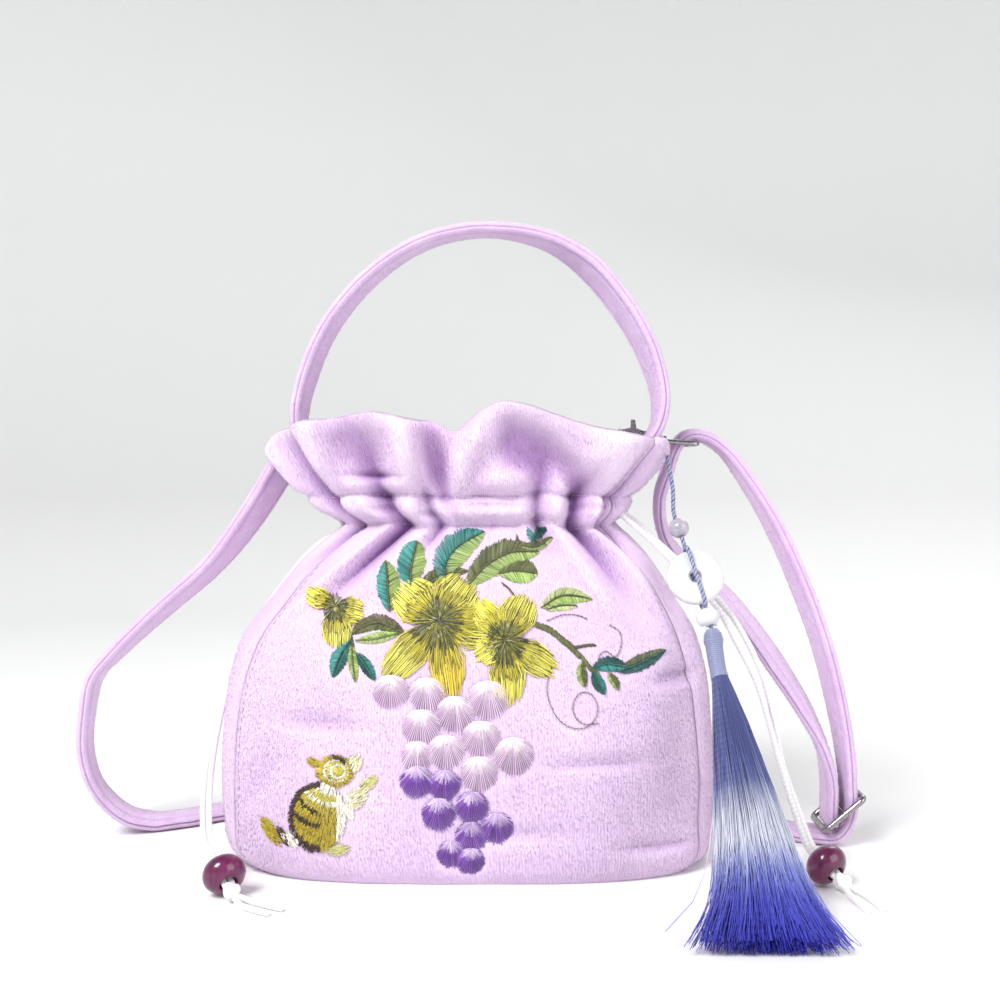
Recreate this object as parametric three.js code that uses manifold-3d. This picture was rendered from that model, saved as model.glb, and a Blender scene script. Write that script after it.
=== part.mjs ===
// A plush drawstring pouch with a top handle, a clipped shoulder strap, beaded drawstrings and
// a tassel pendant. Millimetres, Z up, front towards -Y, origin on the floor under the middle
// of the base.
import * as THREE from "three";
import { mergeVertices } from "three/addons/utils/BufferGeometryUtils.js";
import ManifoldModule from "manifold-3d";

const wasm = await ManifoldModule();
wasm.setup();

// Driving dimensions.
const WALL = 2.4;
const SEAM_TURN = 68;
const SEAM_GAP = 0.2;
const CASING_BOTTOM = 138;
const CASING_TOP = 149.5;
const CLEAR = 0.4;
const BAND_WIDTH = 18;
const BAND_THICK = 5;
const HANDLE_Y = -3;
const STRAP_Y = 19;
const CORD_DIAMETER = 2.4;
const WIRE_RADIUS = 1.1;

// A table with named columns becomes a list of row objects.
function table(columns, rows) {
  return rows.map((row) => Object.fromEntries(columns.map((name, i) => [name, row[i]])));
}

// Level sections of the filled pouch, from the floor to the top of the casing. The girth is a
// superellipse; shift moves the section to the right.
const SECTIONS = table(["z", "halfWidth", "halfDepth", "squareness", "shift"], [
  [0, 90, 46.5, 3.3, 3],
  [3, 95.5, 48.5, 3.2, 2],
  [9, 99.5, 50, 3.1, 1],
  [20, 101, 51, 2.9, 0],
  [36, 102, 51.5, 2.8, 0],
  [58, 101, 51, 2.7, 0],
  [80, 98, 48.5, 2.6, 0.5],
  [94, 93, 45, 2.5, 1],
  [106, 84.5, 41, 2.45, 2],
  [116, 78, 37.5, 2.4, 3],
  [125, 71, 34, 2.35, 4],
  [132, 63.5, 31, 2.3, 5],
  [CASING_BOTTOM, 57, 28.5, 2.3, 5.5],
  [143.5, 63, 31, 2.3, 3],
  [CASING_TOP, 67.5, 30, 2.3, 1.5],
]);
const RIM_SECTION = { halfWidth: 84, halfDepth: 41, squareness: 2.3, shift: 1 };
const FRILL_STEPS = [0.33, 0.66, 1];

// The frilled rim, by turn about the pouch in degrees of girth: 0 is the middle of the front,
// 90 the right side. top is the height of the edge and out how far a fold pushes it outwards.
const RIM = table(["turn", "top", "out"], [
  [-104, 164, 0],
  [-90, 165, 0],
  [-76, 174, 2],
  [-58, 178.5, 5],
  [-46, 180, 3],
  [-33, 182, 6],
  [-19, 179, 2],
  [-12, 178, 4],
  [-4, 174.5, -4],
  [3, 181.5, -4],
  [10, 185.8, 3],
  [19, 184.8, 6],
  [30, 181, 2],
  [42, 177, 1],
  [52, 174.4, 4],
  [64, 172.4, 5],
  [80, 171.5, 2],
  [90, 165, 0],
  [108, 164, 0],
  [126, 175, 5],
  [144, 172, -3],
  [162, 178, 5],
  [180, 173, -4],
  [200, 178, 5],
  [220, 173, -3],
  [238, 175, 4],
]);

// Gathers pressed into the cloth at the casing. drop is how far each one runs down the
// shoulder and lean how many degrees it swings sideways on the way.
const GATHERS = table(["turn", "depth", "half", "drop", "lean"], [
  [-68, 5, 10, 26, -5],
  [-44, 7, 11, 42, -14],
  [-22, 4, 8, 14, 0],
  [6, 4, 8, 12, 0],
  [24, 4.5, 8, 18, 2],
  [50, 7, 10, 44, 8],
  [74, 4.5, 9, 22, 5],
  [124, 5, 10, 26, 0],
  [148, 5, 10, 34, 0],
  [172, 5, 10, 30, 0],
  [196, 5, 10, 34, 0],
  [220, 5, 10, 30, 0],
  [242, 5, 9, 26, 0],
]);

const mix = (a, b, t) => a + (b - a) * t;
const clamp01 = (t) => Math.min(1, Math.max(0, t));
const smooth = (t) => t * t * (3 - 2 * t);
const wrap = (degrees) => ((((degrees + 180) % 360) + 360) % 360) - 180;

// Row of SECTIONS at any height, between its neighbours.
function sectionAt(z) {
  const above = Math.max(1, SECTIONS.findIndex((row) => row.z >= z));
  const [low, high] = [SECTIONS[above - 1], SECTIONS[above]];
  return mixSections(low, high, (z - low.z) / (high.z - low.z));
}

function mixSections(low, high, t) {
  return {
    halfWidth: mix(low.halfWidth, high.halfWidth, t),
    halfDepth: mix(low.halfDepth, high.halfDepth, t),
    squareness: mix(low.squareness, high.squareness, t),
    shift: mix(low.shift, high.shift, t),
  };
}

// One column of RIM at a turn, as a smooth closed curve through the rows.
function rimAt(turn, column) {
  const count = RIM.length;
  const start = RIM[0].turn;
  const place = start + ((((turn - start) % 360) + 360) % 360);
  let i = RIM.findLastIndex((row) => row.turn <= place);
  const row = (k) => {
    const lap = Math.floor(k / count);
    const entry = RIM[k - lap * count];
    return { turn: entry.turn + 360 * lap, value: entry[column] };
  };
  const [p0, p1, p2, p3] = [row(i - 1), row(i), row(i + 1), row(i + 2)];
  const span = p2.turn - p1.turn;
  const t = (place - p1.turn) / span;
  const slope1 = ((p2.value - p0.value) / (p2.turn - p0.turn)) * span;
  const slope2 = ((p3.value - p1.value) / (p3.turn - p1.turn)) * span;
  const rise = p1.value * (1 + 2 * t) * (1 - t) ** 2 + p2.value * t * t * (3 - 2 * t);
  return rise + slope1 * t * (1 - t) ** 2 - slope2 * t * t * (1 - t);
}

// Point and outward direction of a section's outline at a turn, shared out by arc length.
function outlineAt(section, turn) {
  const { halfWidth: a, halfDepth: b, squareness: n } = section;
  const steps = 60;
  const points = [];
  let length = 0;
  for (let k = 0; k <= steps; k++) {
    const angle = (Math.PI / 2) * (1 - k / steps);
    const [c, s] = [Math.cos(angle), Math.sin(angle)];
    const radius = ((c / a) ** n + (s / b) ** n) ** (-1 / n);
    const point = { x: radius * c, y: radius * s, length: 0 };
    if (k > 0) {
      length += Math.hypot(point.x - points[k - 1].x, point.y - points[k - 1].y);
      point.length = length;
    }
    points.push(point);
  }
  const around = wrap(turn);
  const share = Math.abs(around) <= 90 ? Math.abs(around) / 90 : (180 - Math.abs(around)) / 90;
  const k = Math.min(steps, Math.max(1, points.findIndex((p) => p.length >= share * length - 1e-9)));
  const [low, high] = [points[k - 1], points[k]];
  const t = (share * length - low.length) / (high.length - low.length);
  const [x, y] = [mix(low.x, high.x, t), mix(low.y, high.y, t)];
  const right = around < 0 ? -1 : 1;
  const back = Math.abs(around) <= 90 ? -1 : 1;
  const normal = new THREE.Vector2((x / a) ** (n - 1) / a, (y / b) ** (n - 1) / b).normalize();
  return { x: right * x, y: back * y, nx: right * normal.x, ny: back * normal.y };
}

// How far the gathers press the cloth inwards.
function gatherAt(turn, z, frill) {
  let push = 0;
  for (const row of GATHERS) {
    const fall = clamp01((CASING_BOTTOM - z) / row.drop);
    const off = wrap(turn - row.turn - row.lean * fall) / row.half;
    if (Math.abs(off) < 1) {
      const fade = (1 - smooth(fall)) * (1 - 0.7 * frill);
      push -= row.depth * fade * (0.5 + 0.5 * Math.cos(Math.PI * off));
    }
  }
  return push;
}

// A point of the cloth: below the casing's top by height z, above it by frill (0 to 1, the rim).
// clear is the distance outwards from the outer face.
function clothPoint(turn, z, frill, clear) {
  const section = frill > 0 ? mixSections(sectionAt(CASING_TOP), RIM_SECTION, frill ** 0.8) : sectionAt(z);
  const spot = outlineAt(section, turn);
  const push = gatherAt(turn, z, frill) + frill * rimAt(turn, "out") + clear;
  const height = frill > 0 ? mix(CASING_TOP, rimAt(turn, "top"), frill) : z;
  return new THREE.Vector3(spot.x + section.shift + spot.nx * push, spot.y + spot.ny * push, height);
}

// Closed geometry from indexed points.
function geometryOf(points, faces) {
  const geometry = new THREE.BufferGeometry();
  const places = points.flatMap((p) => [p.x, p.y, p.z]);
  geometry.setAttribute("position", new THREE.Float32BufferAttribute(places, 3));
  geometry.setIndex(faces);
  return geometry;
}

// A cloth wall between two turns: an outer and an inner grid joined round the four edges.
function clothWall(fromTurn, toTurn, columns) {
  const rows = [
    ...SECTIONS.map((row) => ({ z: row.z, frill: 0 })),
    ...FRILL_STEPS.map((frill) => ({ z: CASING_TOP, frill })),
  ];
  const points = [];
  for (const clear of [0, -WALL]) {
    for (const { z, frill } of rows) {
      for (let i = 0; i <= columns; i++) {
        points.push(clothPoint(mix(fromTurn, toTurn, i / columns), z, frill, clear));
      }
    }
  }
  const stride = columns + 1;
  const inner = rows.length * stride;
  const faces = [];
  const quad = (a, b, c, d) => faces.push(a, b, c, a, c, d);
  for (let j = 0; j + 1 < rows.length; j++) {
    for (let i = 0; i < columns; i++) {
      const a = j * stride + i;
      quad(a, a + 1, a + 1 + stride, a + stride);
      quad(inner + a + 1, inner + a, inner + a + stride, inner + a + 1 + stride);
    }
    const left = j * stride;
    const right = left + columns;
    quad(left, left + stride, inner + left + stride, inner + left);
    quad(right + stride, right, inner + right, inner + right + stride);
  }
  const top = (rows.length - 1) * stride;
  for (let i = 0; i < columns; i++) {
    quad(i + 1, i, inner + i, inner + i + 1);
    quad(top + i, top + i + 1, inner + top + i + 1, inner + top + i);
  }
  return geometryOf(points, faces);
}

// Solid through a list of rings with the same number of points, turning left about the way
// they follow.
function loft(rings) {
  const count = rings[0].length;
  const faces = [];
  for (let k = 0; k + 1 < rings.length; k++) {
    for (let i = 0; i < count; i++) {
      const a = k * count + i;
      const b = k * count + ((i + 1) % count);
      faces.push(a, b, b + count, a, b + count, a + count);
    }
  }
  const last = (rings.length - 1) * count;
  for (let i = 1; i + 1 < count; i++) {
    faces.push(0, i + 1, i, last, last + i, last + i + 1);
  }
  return geometryOf(rings.flat(), faces);
}

// Plush band along a path. Its width lies along Y where it can; lean turns it about the path
// in degrees.
function bandAlong(rows, steps) {
  const curve = new THREE.CatmullRomCurve3(rows.map((row) => new THREE.Vector3(row.x, row.y, row.z)));
  curve.arcLengthDivisions = 2000;
  const [w, t] = [BAND_WIDTH / 2, BAND_THICK / 2];
  const section = [[w, -t * 0.45], [w, t * 0.45], [w - 2, t], [2 - w, t]];
  const outline = [...section, ...section.map(([across, up]) => [-across, -up])];
  const rings = [];
  for (let k = 0; k <= steps; k++) {
    const place = (k / steps) * (rows.length - 1);
    const low = Math.min(rows.length - 2, Math.floor(place));
    const lean = THREE.MathUtils.degToRad(mix(rows[low].lean, rows[low + 1].lean, place - low));
    const centre = curve.getPoint(k / steps);
    const along = curve.getTangent(k / steps);
    const wide = new THREE.Vector3(0, 1, 0).addScaledVector(along, -along.y).normalize();
    wide.applyAxisAngle(along, lean);
    const up = along.clone().cross(wide);
    rings.push(outline.map(([across, rise]) =>
      centre.clone().addScaledVector(wide, across).addScaledVector(up, rise)));
  }
  return { geometry: loft(rings), length: curve.getLength() };
}

// Round cord along a path.
function cordAlong(points, diameter, steps, sides = 8) {
  const curve = new THREE.CatmullRomCurve3(points.map((p) => new THREE.Vector3(...p)));
  curve.arcLengthDivisions = 1000;
  const section = new THREE.Shape();
  for (let i = 0; i < sides; i++) {
    const angle = (2 * Math.PI * i) / sides;
    const spot = [(diameter / 2) * Math.cos(angle), (diameter / 2) * Math.sin(angle)];
    if (i === 0) {
      section.moveTo(...spot);
    } else {
      section.lineTo(...spot);
    }
  }
  section.closePath();
  return new THREE.ExtrudeGeometry(section, { steps, extrudePath: curve, bevelEnabled: false });
}

// Turn a geometry made along +Z to follow a direction and set it at a place.
function aim(geometry, direction, place) {
  const way = new THREE.Vector3(...direction).normalize();
  const turn = new THREE.Quaternion().setFromUnitVectors(new THREE.Vector3(0, 0, 1), way);
  return geometry.applyQuaternion(turn).translate(...place);
}

// Ring-shaped bead about Z with a hole for its cord.
function bead(outer, hole, height, sides, pieces = 10) {
  const profile = [];
  const middle = (outer + hole) / 2;
  for (let i = 0; i <= pieces; i++) {
    const angle = (2 * Math.PI * (i % pieces)) / pieces;
    const radius = middle + ((outer - hole) / 2) * Math.cos(angle);
    profile.push(new THREE.Vector2(radius, (height / 2) * Math.sin(angle)));
  }
  return new THREE.LatheGeometry(profile, sides).rotateX(Math.PI / 2);
}

// Solids for joining and cutting.
function solidOf(geometry) {
  const bare = geometry.clone();
  for (const name of Object.keys(bare.attributes)) {
    if (name !== "position") {
      bare.deleteAttribute(name);
    }
  }
  const merged = mergeVertices(bare, 1e-4);
  const mesh = new wasm.Mesh({
    numProp: 3,
    vertProperties: new Float32Array(merged.attributes.position.array),
    triVerts: new Uint32Array(merged.index.array),
  });
  mesh.merge();
  return new wasm.Manifold(mesh);
}

function geometryFrom(solid) {
  const mesh = solid.getMesh();
  const geometry = new THREE.BufferGeometry();
  geometry.setAttribute("position", new THREE.BufferAttribute(new Float32Array(mesh.vertProperties), 3));
  geometry.setIndex(new THREE.BufferAttribute(new Uint32Array(mesh.triVerts), 1));
  return geometry;
}

const join = (...geometries) => geometryFrom(wasm.Manifold.union(geometries.map(solidOf)));
const cut = (body, ...tools) =>
  geometryFrom(solidOf(body).subtract(wasm.Manifold.union(tools.map(solidOf))));

// Flat outline drawn in X and Z, with its thickness along Y about the given middle.
function plateXZ(shape, thick, middleY, curveSegments = 6) {
  const geometry = new THREE.ExtrudeGeometry(shape, { depth: thick, bevelEnabled: false, curveSegments });
  return geometry.rotateX(Math.PI / 2).translate(0, middleY + thick / 2, 0);
}

// Rod between two points.
function rod(from, to, radius, sides = 8) {
  const [a, b] = [new THREE.Vector3(...from), new THREE.Vector3(...to)];
  const way = b.clone().sub(a);
  const geometry = new THREE.CylinderGeometry(radius, radius, way.length(), sides).rotateX(Math.PI / 2);
  return aim(geometry, way.toArray(), a.add(b).multiplyScalar(0.5).toArray());
}

// Materials.
const material = (name, color, metalness, roughness) =>
  Object.assign(new THREE.MeshStandardMaterial({ color, metalness, roughness }), { name });
const PLUSH = material("plush", 0xcdaee0, 0, 0.9);
const METAL = material("gunmetal", 0x8d8a90, 1, 0.3);
const STRING = material("white_cord", 0xf4f0ee, 0, 0.6);
const WOOD = material("purple_bead", 0x74204f, 0, 0.25);
const BLUE_CORD = material("blue_cord", 0x6f7fb5, 0, 0.6);
const JADE = material("jade", 0xe9ece6, 0, 0.2);
const SILK = material("silk", 0x6c72b8, 0, 0.5);

const group = new THREE.Group();
function add(name, geometry, look) {
  const mesh = new THREE.Mesh(geometry, look);
  mesh.name = name;
  group.add(mesh);
}

// Pouch walls, sewn together at four upright seams.
add("front_panel", clothWall(-SEAM_TURN + SEAM_GAP, SEAM_TURN - SEAM_GAP, 26), PLUSH);
add("right_gusset", clothWall(SEAM_TURN + SEAM_GAP, 180 - SEAM_TURN - SEAM_GAP, 5), PLUSH);
add("back_panel", clothWall(180 - SEAM_TURN + SEAM_GAP, 180 + SEAM_TURN - SEAM_GAP, 15), PLUSH);
add("left_gusset", clothWall(180 + SEAM_TURN + SEAM_GAP, 360 - SEAM_TURN - SEAM_GAP, 5), PLUSH);

// Flat base, sewn in round its edge.
const baseOutline = new THREE.Shape();
for (let i = 0; i < 36; i++) {
  const spot = clothPoint((360 * i) / 36, 0, 0, -WALL - CLEAR);
  if (i === 0) {
    baseOutline.moveTo(spot.x, spot.y);
  } else {
    baseOutline.lineTo(spot.x, spot.y);
  }
}
baseOutline.closePath();
add("base_panel", new THREE.ExtrudeGeometry(baseOutline, { depth: WALL, bevelEnabled: false }), PLUSH);

// Path rows for the bands: lean is the turn of the band about its path.
const PATH = ["x", "y", "z", "lean"];

// Carrying handle, an arch with both ends sewn inside the rim.
const HANDLE = table(PATH, [
  [-53, HANDLE_Y, 155, 0],
  [-60.5, HANDLE_Y, 162.5, 0],
  [-67.5, HANDLE_Y, 170, 0],
  [-70.2, HANDLE_Y, 181, -5],
  [-67, HANDLE_Y, 197.6, -9],
  [-58, HANDLE_Y, 218.6, -9],
  [-43, HANDLE_Y, 237.5, -7],
  [-24.4, HANDLE_Y, 251.5, -3],
  [-6, HANDLE_Y, 258.2, 0],
  [13.4, HANDLE_Y, 259.4, 0],
  [34.2, HANDLE_Y, 254.6, -9],
  [50.4, HANDLE_Y, 244, -20],
  [65.2, HANDLE_Y, 226.4, -21],
  [75.4, HANDLE_Y, 208, -17],
  [80.2, HANDLE_Y, 190, -9],
  [79.3, HANDLE_Y, 179.5, -3],
  [75, HANDLE_Y, 171, 0],
  [69, HANDLE_Y, 163.5, 0],
  [61.2, HANDLE_Y, 155, 0],
]);
const handle = bandAlong(HANDLE, 27);
add("top_handle", handle.geometry, PLUSH);

// Shoulder strap, from the left corner of the frill down to the floor, behind the pouch, up
// through the slider, over the clasp's eye and back down to the slider.
const STRAP = table(PATH, [
  [-80.2, 12, 160.6, 28],
  [-94, 11, 138.7, 24],
  [-109.3, 12, 119.7, 16],
  [-133, 12, 98.9, 12],
  [-151, 13, 82.2, 6],
  [-161, 13, 71, 0],
  [-164.6, 14, 57.5, -4],
  [-166.3, 15.5, 38.5, -6],
  [-162.3, 18, 22, -8],
  [-152.5, 24.5, 8.6, -4],
  [-142, 30.5, 3.6, 0],
  [-130, 37, 2.9, 0],
  [-117, 47, 2.9, 0],
  [-98, 59, 2.9, 0],
  [-60, 68, 2.9, 0],
  [0, 70, 2.9, 0],
  [60, 67, 2.9, 0],
  [98, 52, 2.9, 0],
  [124, 30, 2.9, 0],
  [146, 14, 2.9, 0],
  [157.5, 8.6, 5, 0],
  [162, 8, 13, 0],
  [162.1, 8, 27, 0],
  [160.5, 8, 42, 4],
  [157, 9, 62, 8],
  [151, 10, 86, 9],
  [142.4, 12, 110.5, 10],
  [131.4, 15, 136, 8],
  [120, 18, 156, 4],
  [110.5, STRAP_Y, 168.6, 0],
  [101.5, STRAP_Y, 174.4, 0],
  [94, STRAP_Y, 174.5, 0],
  [88.8, STRAP_Y, 168.5, 0],
  [85.8, STRAP_Y, 159, 0],
  [82.6, STRAP_Y, 146, 4],
  [85.4, STRAP_Y, 130.5, 8],
  [98, 17.5, 116, 14],
  [110.6, 15.5, 105, 20],
  [121, 13.5, 92, 24],
  [131.6, 12, 77, 26],
  [144, 10, 57, 20],
  [151, 8.6, 42, 9],
  [154, 8, 28, 0],
  [154.2, 8, 16, 0],
  [154.2, 8, 9.2, 0],
]);
const strap = bandAlong(STRAP, 62);
add("shoulder_strap", strap.geometry, PLUSH);

// Two-slot metal slider that the strap's two legs pass through.
const SLIDER = { x: 158.1, y: 8, z: 15.2, tilt: 40, slot: 8.3, inside: 20 };
const rise = THREE.MathUtils.degToRad(SLIDER.tilt);
const pitch = SLIDER.slot + 2 * WIRE_RADIUS;
const sliderPoint = (along, across) => [
  SLIDER.x + along * Math.cos(rise),
  SLIDER.y + across,
  SLIDER.z + along * Math.sin(rise),
];
const railY = SLIDER.inside / 2 + WIRE_RADIUS;
const sliderRods = [-railY, railY].map((across) =>
  rod(sliderPoint(-pitch - WIRE_RADIUS, across), sliderPoint(pitch + WIRE_RADIUS, across), WIRE_RADIUS));
const sliderBars = [-pitch, 0, pitch].map((along) =>
  rod(sliderPoint(along, -railY), sliderPoint(along, railY), WIRE_RADIUS));
add("strap_slider", join(...sliderRods, ...sliderBars), METAL);

// Snap clasp. The hook is a flat open ring with a forked root, the gate a thumb lever that
// closes it, and the eye a wire loop on the hook's swivel post.
const CLASP = { x: 68.5, z: 172.2, thick: 4.4, pivotX: 74.4, pivotZ: 175.6, gateThick: 2, postEnd: 85.5 };
const hookShape = new THREE.Shape();
hookShape.absellipse(CLASP.x, CLASP.z, 7.6, 6.2, 0, 2 * Math.PI, false, 0);
const hookHole = new THREE.Path();
hookHole.absellipse(CLASP.x - 0.3, CLASP.z + 0.1, 4.4, 3.4, 0, 2 * Math.PI, true, 0);
hookShape.holes.push(hookHole);
const hookRing = plateXZ(hookShape, CLASP.thick, STRAP_Y, 10);
const hookRoot = new THREE.BoxGeometry(6.4, CLASP.thick, 7).translate(75.6, STRAP_Y, 173.2);
const hookPost = rod([78, STRAP_Y, 172.2], [CLASP.postEnd, STRAP_Y, 172.2], 1.5, 10);
const hookHead = rod([CLASP.postEnd - 1.4, STRAP_Y, 172.2], [CLASP.postEnd, STRAP_Y, 172.2], 2.6, 10);
const mouthCut = new THREE.Shape();
mouthCut.moveTo(65.6, 181);
mouthCut.lineTo(65.6, 175);
mouthCut.lineTo(68, 173.6);
mouthCut.lineTo(72.2, 173.4);
mouthCut.lineTo(72.2, 181);
mouthCut.closePath();
const forkCut = new THREE.BoxGeometry(5.4, CLASP.gateThick + 0.7, 5.6).translate(74.2, STRAP_Y, 176.2);
const pivotAt = (across) => [CLASP.pivotX, STRAP_Y + across, CLASP.pivotZ];
const pinHole = rod(pivotAt(-4), pivotAt(4), 1.05, 10);
const hookBody = join(hookRing, hookRoot, hookPost, hookHead);
add("clasp_hook", cut(hookBody, plateXZ(mouthCut, 8, STRAP_Y), forkCut, pinHole), METAL);

const gateShape = new THREE.Shape();
gateShape.moveTo(66.1, 177.6);
gateShape.lineTo(66.1, 175.9);
gateShape.lineTo(74.4, 173.9);
gateShape.lineTo(76.1, 174.6);
gateShape.lineTo(76.1, 176.6);
gateShape.lineTo(74.4, 177.3);
gateShape.lineTo(72.6, 178);
gateShape.lineTo(72, 181.6);
gateShape.lineTo(70.2, 181.8);
gateShape.lineTo(70, 178.2);
gateShape.closePath();
const gatePlate = plateXZ(gateShape, CLASP.gateThick, STRAP_Y);
const gatePin = rod(pivotAt(-CLASP.thick / 2), pivotAt(CLASP.thick / 2), 0.75, 10);
add("clasp_gate", join(gatePlate, gatePin), METAL);

const EYE = { near: 82.2, far: 97.4, inside: 20, nearZ: 172.2, farZ: 171 };
const eyeY = EYE.inside / 2 + WIRE_RADIUS;
const eyeCorner = (x, z, side) => [x, STRAP_Y + side * eyeY, z];
const eyeParts = [-1, 1].map((side) =>
  rod(eyeCorner(EYE.near, EYE.nearZ, side), eyeCorner(EYE.far, EYE.farZ, side), WIRE_RADIUS));
eyeParts.push(rod(eyeCorner(EYE.far, EYE.farZ, -1.1), eyeCorner(EYE.far, EYE.farZ, 1.1), WIRE_RADIUS));
eyeParts.push(rod(eyeCorner(EYE.near, EYE.nearZ, -1.1), eyeCorner(EYE.near, EYE.nearZ, 1.1), WIRE_RADIUS));
eyeParts.push(rod([EYE.near - 1.5, STRAP_Y, EYE.nearZ], [EYE.near + 1.5, STRAP_Y, EYE.nearZ], 3, 12));
const postHole = rod([EYE.near - 3, STRAP_Y, EYE.nearZ], [EYE.near + 3, STRAP_Y, EYE.nearZ], 1.8, 10);
add("clasp_eye", cut(join(...eyeParts), postHole), METAL);

// Hidden loop of tape sewn inside the rim that the hook is clipped to.
const frame = (half, rise) => [[-half, -rise], [half, -rise], [half, rise], [-half, rise]]
  .map(([across, up]) => new THREE.Vector2(across, up));
const loopShape = new THREE.Shape(frame(3.5, 4.2));
loopShape.holes.push(new THREE.Path(frame(2.6, 3.1).reverse()));
const tapeLoop = new THREE.ExtrudeGeometry(loopShape, { depth: 1.4, bevelEnabled: false });
tapeLoop.rotateX(Math.PI / 2).rotateZ(Math.PI / 2).translate(65.1, STRAP_Y, 167.4);
const sewnEnd = clothPoint(107, CASING_TOP, 0.45, -WALL - CLEAR - 1.1).toArray();
add("anchor_loop", join(tapeLoop, rod([65.8, STRAP_Y - 2, 163.8], sewnEnd, 0.9, 6)), PLUSH);

// Cord beads lying on the floor; the axis points from the casing side to the knot.
const BEAD = { radius: 8.2, hole: 3.2, height: 11, knot: 9.3, knotRadius: 3.7 };
const BEADS = table(["side", "x", "y", "z", "ax", "ay", "az"], [
  ["left", -90, -60, 8.4, 0.45, -0.75, -0.46],
  ["right", 138.5, -49, 8.5, 0.45, -0.75, -0.46],
]);
const beadAt = Object.fromEntries(BEADS.map((row) => {
  const centre = new THREE.Vector3(row.x, row.y, row.z);
  const axis = new THREE.Vector3(row.ax, row.ay, row.az).normalize();
  const beside = new THREE.Vector3(0, 0, 1).cross(axis).normalize();
  const point = (along, across) =>
    centre.clone().addScaledVector(axis, along).addScaledVector(beside, across);
  return [row.side, { axis, point }];
}));
for (const [side, { axis, point }] of Object.entries(beadAt)) {
  const place = point(0, 0).toArray();
  add(`${side}_bead`, aim(bead(BEAD.radius, BEAD.hole, BEAD.height, 14, 8), axis.toArray(), place), WOOD);
  const lump = new THREE.SphereGeometry(BEAD.knotRadius, 10, 8);
  add(`${side}_knot`, lump.translate(...point(BEAD.knot, 0).toArray()), STRING);
}

// Drawstrings: the two strands out of each end of the casing; both go through a bead to its knot.
// The left pair lies on the gusset first, from the casing down, at the turns given here.
const laid = (turn) => [[142.6, 1.5], [136, 2.2], [129, 2.4], [121, 2.4], [112, 2.3], [103, 2.2], [92, 2]]
  .map(([z, clear]) => clothPoint(turn, z, 0, clear).toArray());
const CORDS = {
  left_cord_front: [
    ...laid(-100), [-99.8, 10.5, 79], [-103, 5.5, 65], [-105.2, -1, 51], [-105.6, -10, 38.5],
    [-103.5, -25, 26.5], [-98.6, -43.5, 17],
  ],
  left_cord_back: [
    ...laid(-104), [-100.4, 15, 78.5], [-104.2, 10, 64], [-107.4, 3, 50], [-108.4, -7.5, 37],
    [-106.4, -23, 25], [-101.4, -42, 16],
  ],
  right_cord_front: [
    [61.8, -11.2, 142.6], [68.4, -13.2, 137.2], [77, -15.5, 129.5], [84, -18, 122], [92, -19.5, 114],
    [101, -20.5, 104.5], [109, -21.5, 90], [117, -22, 74], [122.2, -22.5, 57], [126.4, -26, 40],
    [129.6, -32.5, 26],
  ],
  right_cord_back: [
    [64.2, -6.8, 142.6], [71, -9, 137.2], [78.5, -11.5, 130], [86, -14, 123], [94.5, -15.5, 115],
    [104, -16.5, 105.5], [113.5, -17.5, 91], [120.6, -18, 75], [124.8, -18.8, 58], [127.6, -22, 41],
    [131.6, -29, 26.5],
  ],
};
for (const [name, points] of Object.entries(CORDS)) {
  const side = name.split("_")[0];
  const { point } = beadAt[side];
  const across = name === "left_cord_front" || name === "right_cord_back" ? 1.4 : -1.4;
  const through = [-9, -3, 5].map((along) => point(along, across).toArray());
  add(name, cordAlong([...points, ...through], CORD_DIAMETER, 22), STRING);
}

// Loose tails: each leaves its knot in the direction out and lies on the floor.
const TAILS = {
  left_tail_front: {
    out: [0.6, -0.75, -0.3],
    rest: [[-81.6, -73.4, 1.6], [-76.4, -77.8, 1.4], [-69.6, -82.2, 1.4]],
  },
  left_tail_back: {
    out: [0.95, -0.2, -0.25],
    rest: [[-78.8, -69.4, 1.6], [-72.6, -73.2, 1.4], [-65.4, -77.6, 1.4]],
  },
  right_tail_front: {
    out: [0.15, -0.94, -0.3],
    rest: [[143.6, -63.4, 1.6], [144.6, -71, 1.4], [145.4, -80, 1.4]],
  },
  right_tail_back: {
    out: [0.8, -0.55, -0.25],
    rest: [[148.6, -61.4, 1.6], [150.6, -69, 1.4], [151.6, -78, 1.4]],
  },
};
for (const [name, { out, rest }] of Object.entries(TAILS)) {
  const start = beadAt[name.split("_")[0]].point(BEAD.knot, 0);
  start.addScaledVector(new THREE.Vector3(...out).normalize(), BEAD.knotRadius + CLEAR);
  add(name, cordAlong([start.toArray(), ...rest], CORD_DIAMETER, 7), STRING);
}

// Pendant: a cord sewn to the frill's right corner, a small bead, a disc held by loops through
// its hole, a second bead and the tassel. Places are distances down its straight lower part.
const PENDANT = { bead: 2, disc: 24, neck: 41.2, head: 45.6, cord: 1.8 };
const pendantTop = new THREE.Vector3(85.2, -19, 138);
const down = new THREE.Vector3(10.6, -19.6, -39.6).normalize();
const face = new THREE.Vector3(1, 0, 0).addScaledVector(down, -down.x).cross(down).normalize();
const hang = (along, out = 0) =>
  pendantTop.clone().addScaledVector(down, along).addScaledVector(face, out).toArray();
const DISC = { radius: 11.3, hole: 2.3, thick: 4.6 };
const overFace = DISC.thick / 2 + CLEAR + PENDANT.cord / 2;
const sewnTop = clothPoint(79, CASING_TOP, 0.72, CLEAR + PENDANT.cord / 2).toArray();
const strandOver = (out) => cordAlong(
  [-12.9, -12, 0, 12, 12.9].map((along, i) => hang(PENDANT.disc + along, [0.2, 0.9, 1, 0.9, 0.2][i] * out)),
  PENDANT.cord,
  9,
  6,
);
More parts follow.
